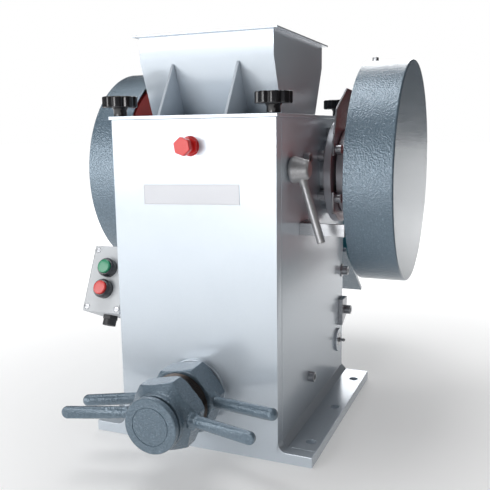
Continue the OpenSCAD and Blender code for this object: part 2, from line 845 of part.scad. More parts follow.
// The sloping motor plate and the two ribs that carry it
module motor_bracket() {
    plate = 8;
    color([0.3, 0.42, 0.5]) {
        difference() {
            motor_plate_outline(-motor_len / 2 - 5, motor_len / 2 + 35, plate);
            motor_frame() for (x = [-motor_bolt_x, motor_bolt_x], y = [-motor_bolt_y, motor_bolt_y])
                translate([x, y, -motor_foot_h - plate - 1]) cylinder(h = plate + 2, r = motor_bolt_r);
        }
        for (x = [-bracket_rib_x, bracket_rib_x])
            difference() {
                union() {
                    yz(x - 5, x + 5)
                        polygon([[rear_y, 186], [rear_y, 250], [rear_y + 8, 240], [rear_y + 100, 171],
                            [rear_y + 90, 160]]);
                    block([x - 23, rear_y, 180], [x + 23, rear_y + 8, 282]);
                }
                for (z = [bracket_bolt_z, bracket_bolt_low_z])
                    ycyl(rear_y - 1, rear_y + 9, 4.5, x > 0 ? x + bracket_bolt_x : x - bracket_bolt_x, z);
            }
    }
}

module motor_housing() {
    core = motor_d / 2 - 10;
    color([0.1, 0.4, 0.45]) motor_frame() difference() {
        union() {
            translate([-motor_len / 2, 0, 0]) rotate([90, 0, 90]) linear_extrude(motor_len) {
                circle(r = core);
                for (a = [0:12:348])
                    rotate(a) translate([core - 3, -1.5]) square([13, 3]);
            }
            for (y = [-motor_bolt_y, motor_bolt_y])
                block([-70, y - 16, -motor_foot_h], [70, y + 16, -motor_foot_h + 14]);
            for (y = [-motor_bolt_y, motor_bolt_y], x = [-40, 10])
                block([x, y > 0 ? y - 12 : y, -motor_foot_h], [x + 30, y > 0 ? y : y + 12, -core * 0.5]);
        }
        xcyl(-motor_len, motor_len, rotor_r + 1);
        for (x = [-motor_bolt_x, motor_bolt_x], y = [-motor_bolt_y, motor_bolt_y])
            translate([x, y, -motor_foot_h - 1]) cylinder(h = 16, r = motor_bolt_r);
    }
}

module motor_end_shields() {
    color([0.1, 0.38, 0.43]) motor_frame() for (s = [-1, 1])
        difference() {
            xcyl(s > 0 ? motor_len / 2 : -motor_len / 2 - 14, s > 0 ? motor_len / 2 + 14 : -motor_len / 2,
                motor_d / 2 - 4);
            xcyl(s > 0 ? motor_len / 2 - 1 : -motor_len / 2 - 15, s > 0 ? motor_len / 2 + 15
                : -motor_len / 2 + 1, 12 + run);
        }
}

module motor_fan_cover() {
    start = motor_len / 2 + 14;
    color([0.12, 0.4, 0.46]) motor_frame() difference() {
        xcyl(start, start + 40, motor_d / 2 - 2);
        xcyl(start - 1, start + 38, motor_d / 2 - 4);
        for (a = [0:30:330])
            rotate([a, 0, 0]) block([start + 37, 22, -4], [start + 41, motor_d / 2 - 16, 4]);
    }
}

module motor_terminal_box() {
    color([0.1, 0.36, 0.42]) motor_frame()
        block([-42, -40, motor_d / 2], [42, 40, motor_d / 2 + 36]);
}

module motor_shaft() {
    color([0.6, 0.61, 0.63]) difference() {
        union() {
            xcyl(-pulley_out - 4, motor_len / 2 + 12, 12, motor_y, motor_z);
            xcyl(-motor_len / 2 + 25, motor_len / 2 - 25, rotor_r, motor_y, motor_z);
        }
        motor_key();
    }
}

// The space of the motor's key
module motor_key() {
    block([-pulley_out, motor_y - 4, motor_z + 8], [-pulley_in, motor_y + 4, motor_z + 15]);
}

module motor_pulley() {
    color([0.4, 0.41, 0.43]) difference() {
        translate([-belt_mid, motor_y, motor_z]) grooved_wheel(pulley_d / 2, pulley_out - pulley_in, 12);
        motor_key();
    }
    color([0.55, 0.56, 0.58]) motor_key();
}

module drive_belts() {
    color([0.12, 0.12, 0.13]) for (s = [-1, 1])
        yz(-belt_mid + s * belt_pitch / 2 - belt_w / 2, -belt_mid + s * belt_pitch / 2 + belt_w / 2)
            difference() {
                belt_outline(sheave_d / 2 - belt_depth, pulley_d / 2 - belt_depth);
                belt_outline(sheave_d / 2 - belt_seat, pulley_d / 2 - belt_seat);
            }
}

// A grooved wheel along X, with its middle at x = 0
module grooved_wheel(r, w, bore) {
    rotate([0, 90, 0]) rotate_extrude() difference() {
        translate([bore, -w / 2]) square([r - bore, w]);
        for (s = [-1, 1])
            translate([r, s * belt_pitch / 2])
                polygon([[1, -groove_top / 2], [1, groove_top / 2], [0, groove_top / 2],
                    [-groove_depth, groove_bottom / 2], [-groove_depth, -groove_bottom / 2],
                    [0, -groove_top / 2]]);
    }
}

// ---------------------------------------------------------------- push-button box

module control_box() {
    color([0.86, 0.87, 0.88]) box_frame() difference() {
        block([-box_w / 2, lid_t, -box_h / 2], [box_w / 2, box_d, box_h / 2]);
        block([-box_w / 2 + 3, lid_t - 1, -box_h / 2 + 3], [box_w / 2 - 3, box_d - 3, box_h / 2 - 3]);
        translate([0, box_d / 2 + 4, -box_h / 2 - 1]) cylinder(h = 5, r = 8);
    }
}

module control_box_lid() {
    color([0.9, 0.91, 0.92]) box_frame() difference() {
        block([-box_w / 2, 0, -box_h / 2], [box_w / 2, lid_t, box_h / 2]);
        block([-box_w / 2 + 3, 3, -box_h / 2 + 3], [box_w / 2 - 3, lid_t + 1, box_h / 2 - 3]);
        for (s = [-1, 1])
            ycyl(-1, 4, button_r + gap, 0, s * button_up);
        for (x = [-1, 1], z = [-1, 1])
            ycyl(-1, 2, 4.2, x * lid_screw_x, z * lid_screw_z);
    }
}

module lid_screws() {
    color([0.7, 0.71, 0.72]) box_frame() for (x = [-1, 1], z = [-1, 1])
        difference() {
            ycyl(0.4, 2, 4, x * lid_screw_x, z * lid_screw_z);
            translate([x * lid_screw_x, 0.7, z * lid_screw_z]) cube([6, 1.4, 1], center = true);
        }
}

module button_rings() {
    color([0.15, 0.16, 0.18]) box_frame() for (s = [-1, 1])
        difference() {
            ycyl(-ring_h, 0, ring_d / 2, 0, s * button_up);
            ycyl(-ring_h - 1, 1, button_r + gap, 0, s * button_up);
        }
}

// A push button with its plunger
module button(z) {
    box_frame() {
        ycyl(-ring_h - button_proud, -ring_h + 4, button_r, 0, z);
        ycyl(-ring_h + 3, 12, 5, 0, z);
    }
}

module start_button() {
    color([0.2, 0.55, 0.42]) button(button_up);
}

module stop_button() {
    color([0.85, 0.2, 0.2]) button(-button_up);
}

module cable_gland() {
    color([0.2, 0.21, 0.23]) box_frame() translate([0, box_d / 2 + 4, -box_h / 2]) difference() {
        union() {
            translate([0, 0, -6]) cylinder(h = 6, r = 13, $fn = 6);
            translate([0, 0, -16]) cylinder(h = 11, r = 10.5);
            cylinder(h = 5, r = 8);
        }
        translate([0, 0, -17]) cylinder(h = 30, r = 4.5);
    }
}

// The angle between the box's side and the left side plate
module control_box_bracket() {
    color([0.75, 0.79, 0.84]) {
        difference() {
            block([-side_out - 3, box_y + 10, box_z - 28], [-side_out, box_y + 46, box_z + 28]);
            for (z = [-16, 16])
                translate([-side_out, box_y + box_bolt_back, box_z + z]) xcyl(-4, 1, 3);
        }
        block([box_x + box_w / 2 + 1, box_y + 22, box_z - 3], [-side_out - 2, box_y + 40, box_z + 3]);
        block([box_x + box_w / 2, box_y + 14, box_z - 20], [box_x + box_w / 2 + 3, box_y + 42, box_z + 12]);
    }
}

// ---------------------------------------------------------------- shaft, flywheels

module eccentric_shaft() {
    color([0.66, 0.67, 0.69]) difference() {
        union() {
            xcyl(-shaft_left, shaft_right, journal_d / 2, shaft_y, shaft_z);
            xcyl(-side_in + flange_t + 4, side_in - flange_t - 4, eccentric_d / 2, ecc_y, shaft_z);
        }
        key_block(fly_in - 4, fly_out - 6);
        mirror([1, 0, 0]) key_block(sheave_in, sheave_out - 6);
    }
}

// The space of a key, on top of the shaft
module key_block(x0, x1) {
    block([x0, shaft_y - key_w / 2, shaft_z + journal_d / 2 - key_h / 2],
        [x1, shaft_y + key_w / 2, shaft_z + journal_d / 2 + key_h / 2]);
}

module shaft_keys() {
    color([0.55, 0.56, 0.58]) {
        key_block(fly_in - 4, fly_out - 6);
        mirror([1, 0, 0]) key_block(sheave_in, sheave_out - 6);
    }
}

module flywheel_right() {
    web = 16;
    rim = 34;
    mid = (fly_in + fly_out) / 2;
    color([0.7, 0.17, 0.15]) difference() {
        union() {
            xcyl(hub_r_in, fly_out + 2, hub_r, shaft_y, shaft_z);
            xcyl(mid - web / 2, mid + web / 2, flywheel_d / 2 - 2, shaft_y, shaft_z);
            difference() {
                xcyl(fly_in, fly_out, flywheel_d / 2, shaft_y, shaft_z);
                xcyl(fly_in - 1, fly_out + 1, flywheel_d / 2 - rim, shaft_y, shaft_z);
            }
        }
        xcyl(hub_r_in - 1, fly_out + 3, journal_d / 2, shaft_y, shaft_z);
        key_block(fly_in - 4, fly_out - 6);
    }
}

module flywheel_left() {
    color([0.7, 0.17, 0.15]) difference() {
        union() {
            translate([-belt_mid, shaft_y, shaft_z])
                grooved_wheel(sheave_d / 2, sheave_out - sheave_in, journal_d / 2);
            mirror([1, 0, 0]) xcyl(hub_l_in, sheave_in + 1, hub_r, shaft_y, shaft_z);
        }
        mirror([1, 0, 0]) xcyl(hub_l_in - 1, sheave_out + 1, journal_d / 2, shaft_y, shaft_z);
        mirror([1, 0, 0]) key_block(sheave_in, sheave_out - 6);
        mirror([1, 0, 0]) difference() {
            xcyl(sheave_out - 14, sheave_out + 1, sheave_d / 2 - 30, shaft_y, shaft_z);
            xcyl(sheave_out - 15, sheave_out + 2, hub_r, shaft_y, shaft_z);
        }
    }
}

// ---------------------------------------------------------------- swing jaw

module swing_jaw() {
    back = jaw_plate_t;
    color([0.5, 0.54, 0.58]) difference() {
        union() {
            yz(-jaw_w / 2, jaw_w / 2)
                polygon([[swing_face(jaw_top_z) + back, jaw_top_z], [swing_face(jaw_bottom_z) + back, jaw_bottom_z],
                    [seat_y, jaw_bottom_z], [seat_y, tip_z + seat_h / 2], [rod_lug_y - 4, rod_z - 12],
                    [rod_lug_y - 4, rod_z + 12], [30, 200], [ecc_y - 6, shaft_z - barrel_r + 4],
                    [ecc_y - 40, shaft_z + 30]]);
            xcyl(-jaw_w / 2, jaw_w / 2, barrel_r, ecc_y, shaft_z);
        }
        xcyl(-jaw_w / 2 - 1, jaw_w / 2 + 1, swing_bearing_od / 2, ecc_y, shaft_z);
        // pocket for the tension rod's eye
        block([-9, seat_y + 3, rod_z - 9], [9, rod_lug_y + 30, rod_z + 9]);
        // lightening pockets between the ribs at the back
        for (x = [-1, 1])
            block([x > 0 ? 22 : -84, 14, 175], [x > 0 ? 84 : -22, 60, 290]);
    }
}

module swing_jaw_bearings() {
    color([0.75, 0.76, 0.78]) both_sides() difference() {
        xcyl(jaw_w / 2 - 10 - bearing_w, jaw_w / 2 - 10, swing_bearing_od / 2, ecc_y, shaft_z);
        xcyl(0, jaw_w, eccentric_d / 2 + run, ecc_y, shaft_z);
    }
}

// A toothed plate, standing up, with its teeth towards -Y and its back at y = 0
module toothed_plate(height) {
    half = jaw_w / 2 - 1;
    teeth = floor(2 * half / tooth_pitch);
    start = -teeth * tooth_pitch / 2;
    body = jaw_plate_t - tooth_h;
    linear_extrude(height)
        polygon(concat([[half, 0], [-half, 0], [-half, -body]],
            [for (i = [0:teeth - 1], k = [0:2])
                [start + (i + [0, 0.35, 0.65][k]) * tooth_pitch, k == 0 ? -body : -body - tooth_h]],
            [[start + teeth * tooth_pitch, -body], [half, -body]]));
}

module swing_jaw_plate() {
    color([0.35, 0.35, 0.37]) translate([0, swing_face(jaw_bottom_z) + jaw_plate_t, jaw_bottom_z])
        multmatrix([[1, 0, 0, 0], [0, 1, tan(swing_lean), 0], [0, 0, 1, 0], [0, 0, 0, 1]])
            toothed_plate(jaw_h);
}

// ---------------------------------------------------------------- toggle

module toggle_link() {
    a = atan2(tip_z - toggle_z, tip_y - toggle_y);
    length = norm([tip_z - toggle_z, tip_y - toggle_y]);
    color([0.45, 0.46, 0.48]) difference() {
        yz(-toggle_w / 2, toggle_w / 2) translate([toggle_y, toggle_z]) rotate(a) {
            circle(r = toggle_hub_r);
            translate([length, 0]) circle(r = tip_r);
            translate([0, -tip_r * 0.8]) square([length, tip_r * 1.6]);
        }
        xcyl(-toggle_w, toggle_w, toggle_pin_d / 2 + run, toggle_y, toggle_z);
    }
}

// ---------------------------------------------------------------- fixed jaw

module fixed_jaw() {
    back = jaw_plate_t + holder_t;
    toe = jaw_bottom_z - 9;
    color([0.5, 0.54, 0.58]) difference() {
        union() {
            yz(-jaw_w / 2, jaw_w / 2)
                polygon([[fixed_face(toe) - back, toe], [fixed_face(toe) - 3, toe],
                    [fixed_face(jaw_bottom_z) - 3, jaw_bottom_z - gap],
                    [fixed_face(jaw_bottom_z) - jaw_plate_t, jaw_bottom_z - gap],
                    [fixed_face(fixed_plate_top) - jaw_plate_t, fixed_plate_top],
                    [pivot_y + 6, pivot_z - 12], [pivot_y, pivot_z],
                    [fixed_face(pivot_z) - back, pivot_z]]);
            xcyl(-jaw_w / 2, jaw_w / 2, jaw_hub_r, pivot_y, pivot_z);
        }
        xcyl(-jaw_w, jaw_w, pivot_d / 2 + run, pivot_y, pivot_z);
    }
}

module fixed_jaw_plate() {
    color([0.35, 0.35, 0.37]) translate([0, fixed_face(jaw_bottom_z) - jaw_plate_t, jaw_bottom_z])
        multmatrix([[1, 0, 0, 0], [0, 1, -tan(fixed_lean), 0], [0, 0, 1, 0], [0, 0, 0, 1]])
            mirror([0, 1, 0]) toothed_plate(fixed_plate_top - jaw_bottom_z);
}

// ---------------------------------------------------------------- adjusting screw

// The threaded bush in the front plate
module screw_bush() {
    color([0.78, 0.81, 0.84]) difference() {
        union() {
            ycyl(front_y - boss_t, front_y, boss_r, 0, screw_z);
            ycyl(front_y - 1, front_in, boss_r - 6, 0, screw_z);
        }
        ycyl(front_y - boss_t - 1, front_in + 1, screw_d / 2 + run, 0, screw_z);
    }
}

module adjusting_screw() {
    color([0.25, 0.2, 0.18]) {
        ycyl(front_y - nut_back - nut_t + 2, screw_tip_y, screw_d / 2, 0, screw_z);
        ycyl(front_y - collar_back - collar_t, front_y - collar_back, collar_r, 0, screw_z);
    }
}

// The pad between the screw's tip and the back of the fixed jaw
module thrust_pad() {
    pad_r = screw_d / 2 - 8;
    lean = (fixed_foot_y - fixed_top_y) / jaw_h;
    back = holder_back - gap;
    fall = (pad_r + 1) * tan(3);
    color([0.6, 0.6, 0.62]) intersection() {
        ycyl(screw_tip_y + gap, back + pad_r, pad_r, 0, screw_z);
        yz(-pad_r - 1, pad_r + 1)
            polygon([[screw_tip_y, screw_z - pad_r - 1],
                [back + lean * (pad_r + 1) - fall, screw_z - pad_r - 1],
                [back, screw_z], [back - lean * (pad_r + 1) - fall, screw_z + pad_r + 1],
                [screw_tip_y, screw_z + pad_r + 1]]);
    }
}

// A hexagon nut around the screw, with chamfered corners and its length from y0 forwards
module hex_nut(y0, t, turn, nose) {
    translate([0, y0, screw_z]) rotate([90, 0, 0]) intersection() {
        rotate([0, 0, turn]) cylinder(h = t, r = nut_corner_d / 2, $fn = 6);
        union() {
            cylinder(h = 5 + eps, r1 = nut_corner_d / 2 - 5, r2 = nut_corner_d / 2);
            translate([0, 0, 5]) cylinder(h = t - 5 - nose, r = nut_corner_d / 2);
            translate([0, 0, t - nose - eps])
                cylinder(h = nose + eps, r1 = nut_corner_d / 2,
                    r2 = nut_corner_d / 2 - min(nose, nut_corner_d / 2 - disc_r));
        }
    }
}

// Two arms that lean forwards, with round ends
module nut_arms(y0, reach, turn) {
    length = (reach - arm_root) / cos(arm_rake);
    translate([0, y0, screw_z]) rotate([0, -turn, 0]) for (s = [0, 1])
        mirror([s, 0, 0]) translate([arm_root, 0, 0]) rotate([0, 0, -arm_rake]) {
            xcyl(0, length, arm_d / 2);
            translate([length, 0, 0]) sphere(r = arm_d / 2);
        }
}

module front_nut() {
    color([0.44, 0.52, 0.6]) difference() {
        union() {
            hex_nut(front_y - nut_back, nut_t, 12, nut_t * 0.36);
            nut_arms(front_y - nut_back - 25, front_arm, front_arm_turn);
            ycyl(front_y - disc_front, front_y - nut_back - nut_t + 1, disc_r, 0, screw_z);
        }
        ycyl(front_y - nut_back - nut_t + 2, front_y - nut_back + 1, screw_d / 2, 0, screw_z);
        translate([0, front_y - disc_front - 1, screw_z]) rotate([-90, 0, 0]) difference() {
            cylinder(h = 1.8, r = 26);
            translate([0, 0, -1]) cylinder(h = 4, r = 25);
        }
    }
}

module lock_nut() {
    color([0.44, 0.52, 0.6]) difference() {
        union() {
            hex_nut(front_y - lock_back, lock_t, 10, 5);
            nut_arms(front_y - lock_back - lock_t * 0.66, lock_arm, lock_arm_turn);
        }
        ycyl(front_y - lock_front - 5, front_y - lock_back + 1, screw_d / 2 + run, 0, screw_z);
    }
}

// ---------------------------------------------------------------- clamp lever

module clamp_lever() {
    hub_x = side_out + 2 + gap;
    color([0.78, 0.79, 0.8]) translate([hub_x, pivot_y, pivot_z]) difference() {
        union() {
            rotate([0, 90, 0]) cylinder(h = 4, r = 18.5);
            translate([4 - eps, 0, 0]) rotate([0, 90, 0]) cylinder(h = 22, r1 = 18.5, r2 = 10);
            translate([14, 2, -8]) rotate([0, 163, 0]) cylinder(h = 98, r1 = 5, r2 = 6);
        }
        rotate([0, 90, 0]) translate([0, 0, -1]) cylinder(h = 20, r = 7 + run);
    }
}

// ---------------------------------------------------------------- star knobs

module star_knob(x, y) {
    lobes = 8;
    lobe_r = 6.5;
    color([0.1, 0.1, 0.11]) translate([x, y, cover_z + gap / 2]) {
        cylinder(h = knob_stem_h, r = knob_stem_d / 2);
        translate([0, 0, knob_stem_h - eps]) linear_extrude(knob_head_h) {
            circle(r = knob_d / 2 - lobe_r * 0.7);
            for (i = [0:lobes - 1])
                rotate(i * 360 / lobes) translate([knob_d / 2 - lobe_r, 0]) circle(r = lobe_r);
        }
        translate([0, 0, -cover_t - stud_len + 3]) cylinder(h = cover_t + stud_len, r = stud_r);
    }
}

module knob_front_right() {
    star_knob(knob_x, knob_front_y);
}

module knob_front_left() {
    star_knob(-knob_x, knob_front_y);
}

module knob_rear_right() {
    star_knob(knob_x, knob_rear_y);
}

module knob_rear_left() {
    star_knob(-knob_x, knob_rear_y);
}

// ---------------------------------------------------------------- the assembly

base_plate();
front_plate();
side_plate_right();
side_plate_left();
rear_plate();
toggle_beam();
cheek_plates();
cover_plate();
hopper();
bearing_housings();
main_bearings();
bearing_covers();
guard_plate();
flywheel_guard();
belt_guard();
guard_brackets();
side_lugs();
socket_screws();
name_plate();
breather_plug();
screw_bush();
hinge_pins();
grease_nipples();
tension_spring();
motor_bracket();
motor_housing();
motor_end_shields();
motor_fan_cover();
motor_terminal_box();
motor_shaft();
motor_pulley();
drive_belts();
control_box();
control_box_lid();
lid_screws();
button_rings();
cable_gland();
control_box_bracket();
eccentric_shaft();
flywheel_right();
flywheel_left();
shaft_keys();
swing_jaw();
swing_jaw_plate();
swing_jaw_bearings();
tension_rod();
toggle_link();
fixed_jaw();
fixed_jaw_plate();
thrust_pad();
adjusting_screw();
front_nut();
lock_nut();
clamp_lever();
knob_front_right();
knob_front_left();
knob_rear_right();
knob_rear_left();
start_button();
stop_button();
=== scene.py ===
"""Visual model of a bench jaw crusher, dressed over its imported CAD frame.

Lengths are metres and every piece lies in the frame's own axes: +X to the operator's right, +Y to the rear
and +Z up.  Each sub-assembly is a class that holds its sizes and builds its own pieces.
"""

from __future__ import annotations

import json
import logging
import math
from dataclasses import dataclass, field
from enum import Enum
from typing import Callable, Sequence

import bmesh
import bpy
from mathutils import Matrix, Vector, noise

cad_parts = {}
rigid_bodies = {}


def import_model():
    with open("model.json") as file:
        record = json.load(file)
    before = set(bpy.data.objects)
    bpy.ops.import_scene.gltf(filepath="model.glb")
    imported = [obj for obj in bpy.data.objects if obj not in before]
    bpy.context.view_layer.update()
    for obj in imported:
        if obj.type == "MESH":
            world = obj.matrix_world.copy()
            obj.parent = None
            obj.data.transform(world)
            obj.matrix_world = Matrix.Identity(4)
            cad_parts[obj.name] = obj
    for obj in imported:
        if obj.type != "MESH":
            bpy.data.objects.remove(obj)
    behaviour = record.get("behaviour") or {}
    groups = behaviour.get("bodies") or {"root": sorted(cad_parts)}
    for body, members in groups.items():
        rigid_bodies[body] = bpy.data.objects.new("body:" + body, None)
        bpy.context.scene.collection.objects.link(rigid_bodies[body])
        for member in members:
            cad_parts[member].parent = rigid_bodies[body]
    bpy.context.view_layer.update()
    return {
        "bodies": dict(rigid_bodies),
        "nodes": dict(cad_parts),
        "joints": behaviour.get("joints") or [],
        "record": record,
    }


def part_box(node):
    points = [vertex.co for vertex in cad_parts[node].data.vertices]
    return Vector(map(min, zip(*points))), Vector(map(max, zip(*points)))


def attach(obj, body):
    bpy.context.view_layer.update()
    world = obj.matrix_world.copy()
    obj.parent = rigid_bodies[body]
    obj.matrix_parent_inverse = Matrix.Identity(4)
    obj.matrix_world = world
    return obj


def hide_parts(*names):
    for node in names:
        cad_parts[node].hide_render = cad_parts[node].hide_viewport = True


LOG = logging.getLogger("jaw_crusher")
Point = tuple[float, float]
Color = tuple[float, float, float]
Socket = bpy.types.NodeSocket
EdgeTest = Callable[[bmesh.types.BMEdge], bool]

COAT_ROUGHNESS = 0.12


# --------------------------------------------------------------------------------------------- finishes


class Grain(Enum):
    """The small-scale texture that a finish carries."""

    ENAMEL = "sprayed enamel with a faint orange peel"
    # The bright flecks are painted glints, and the dimples carry painted shade in their hollows.
    HAMMERED = "hammertone enamel with dimples and bright flecks"
    TURNED = "rings left by a lathe round the shaft's axis"
    BRUSHED = "fine scratches in one direction"
    CAST = "sand-cast surface"
    FORGED = "rough scaled steel"
    MOULDED = "moulded plastic with a spark-eroded texture"
    POLISHED = "smooth plastic or lacquer"


@dataclass(frozen=True)
class Finish:
    """A finish for one material slot.

    Attributes:
        name: Material name.
        color: Main colour, linear.
        tint: Second colour that is mottled into the first.
        grain: Kind of small-scale texture.
        size: Size of the texture's features in metres.
        depth: Height of the texture in metres.
        metal: Metallic amount.
        rough: Lowest and highest roughness.
        coat: Weight of the clear coat.
        mottle: How much of the tint shows, from 0 to 1.
        patch: Size of the mottled patches in metres.
    """

    name: str
    color: Color
    tint: Color
    grain: Grain
    size: float = 0.0012
    depth: float = 0.00002
    metal: float = 0.0
    rough: Point = (0.3, 0.4)
    coat: float = 0.0
    mottle: float = 0.35
    patch: float = 0.05

    def build(self) -> bpy.types.Material:
        """Makes the node material of this finish.

        Returns:
            The new material.
        """
        material = bpy.data.materials.new(self.name)
        material.use_nodes = True
        sheet = NodeSheet(material.node_tree)
        shader = sheet.shader
        shader.inputs["Metallic"].default_value = self.metal
        shader.inputs["Coat Weight"].default_value = self.coat
        shader.inputs["Coat Roughness"].default_value = COAT_ROUGHNESS
        place = sheet.add("ShaderNodeTexCoord").outputs["Object"]
        patches = sheet.noise(place, 1.0 / self.patch, detail=4.0)
        amount = sheet.remap(patches, 0.35, 0.65, 0.0, self.mottle)
        color = sheet.mix(amount, (*self.color, 1.0), (*self.tint, 1.0))
        color, rough, height = self._grain(sheet, place, color)
        sheet.join(color, shader.inputs["Base Color"])
        sheet.join(rough, shader.inputs["Roughness"])
        bump = sheet.add("ShaderNodeBump")
        bump.inputs["Strength"].default_value = 1.0
        bump.inputs["Distance"].default_value = self.depth
        sheet.join(height, bump.inputs["Height"])
        sheet.join(bump.outputs["Normal"], shader.inputs["Normal"])
        sheet.join(bump.outputs["Normal"], shader.inputs["Coat Normal"])
        return material

    def _grain(self, sheet: NodeSheet, place: Socket, color: Socket) -> tuple[Socket, Socket, Socket]:
        """Adds the small-scale texture.

        Args:
            sheet: Node sheet to add to.
            place: Socket with the place on the object.
            color: Socket with the mottled colour.

        Returns:
            Sockets for colour, roughness and height.
        """
        scale = 1.0 / self.size
        low, high = self.rough
        if self.grain is Grain.HAMMERED:
            bent = sheet.bend(place, scale * 0.9, self.size * 0.9)
            cells = sheet.cells(bent, scale)
            fine = sheet.noise(place, scale * 2.3, detail=3.0)
            # Painted glints: pale specks mixed into the colour stand in for the sparkles of light on the
            # glossy paint.
            painted_glints = sheet.remap(sheet.noise(place, scale * 0.8, detail=6.0), 0.6, 0.7, 0.0, 0.3)
            # Painted shade: the colour stays darker in the dimples' hollows and is painted lighter towards
            # their rims.
            shade = sheet.remap(cells, 0.1, 0.8, 0.0, 0.5)
            color = sheet.mix(shade, color, (*[min(1.0, c * 1.45) for c in self.color], 1.0))
            color = sheet.mix(painted_glints, color, (*[min(1.0, c * 2.4 + 0.03) for c in self.color], 1.0))
            rough = sheet.remap(fine, 0.3, 0.7, low, high)
            height = sheet.math("ADD", cells, sheet.math("MULTIPLY", fine, 0.7))
        elif self.grain is Grain.TURNED:
            rings = sheet.rings(place, scale)
            fine = sheet.noise(place, scale * 0.5, detail=5.0)
            rough = sheet.remap(sheet.math("ADD", rings, fine), 0.2, 1.6, low, high)
            height = sheet.math("ADD", rings, sheet.math("MULTIPLY", fine, 0.4))
        elif self.grain is Grain.BRUSHED:
            drawn = sheet.stretch(place, (scale * 0.04, scale, scale))
            lines = sheet.noise(drawn, 1.0, detail=4.0)
            rough = sheet.remap(lines, 0.3, 0.7, low, high)
            height = lines
        elif self.grain in (Grain.CAST, Grain.FORGED):
            coarse = sheet.noise(place, scale, detail=8.0)
            pits = sheet.cells(place, scale * 1.7)
            rough = sheet.remap(coarse, 0.35, 0.7, low, high)
            worn = sheet.remap(coarse, 0.5, 0.7, 0.0, 0.4)
            color = sheet.mix(worn, color, (*[min(1.0, c * 1.8 + 0.03) for c in self.color], 1.0))
            height = sheet.math("ADD", coarse, sheet.math("MULTIPLY", pits, 0.5))
        elif self.grain is Grain.MOULDED:
            fine = sheet.noise(place, scale, detail=6.0)
            rough = sheet.remap(fine, 0.35, 0.65, low, high)
            height = fine
        else:
            wave = sheet.noise(place, scale, detail=2.0)
            dust = sheet.noise(place, scale * 7.0, detail=3.0)
            rough = sheet.remap(dust, 0.35, 0.65, low, high)
            height = sheet.math("ADD", wave, sheet.math("MULTIPLY", dust, 0.25))
        return color, rough, height


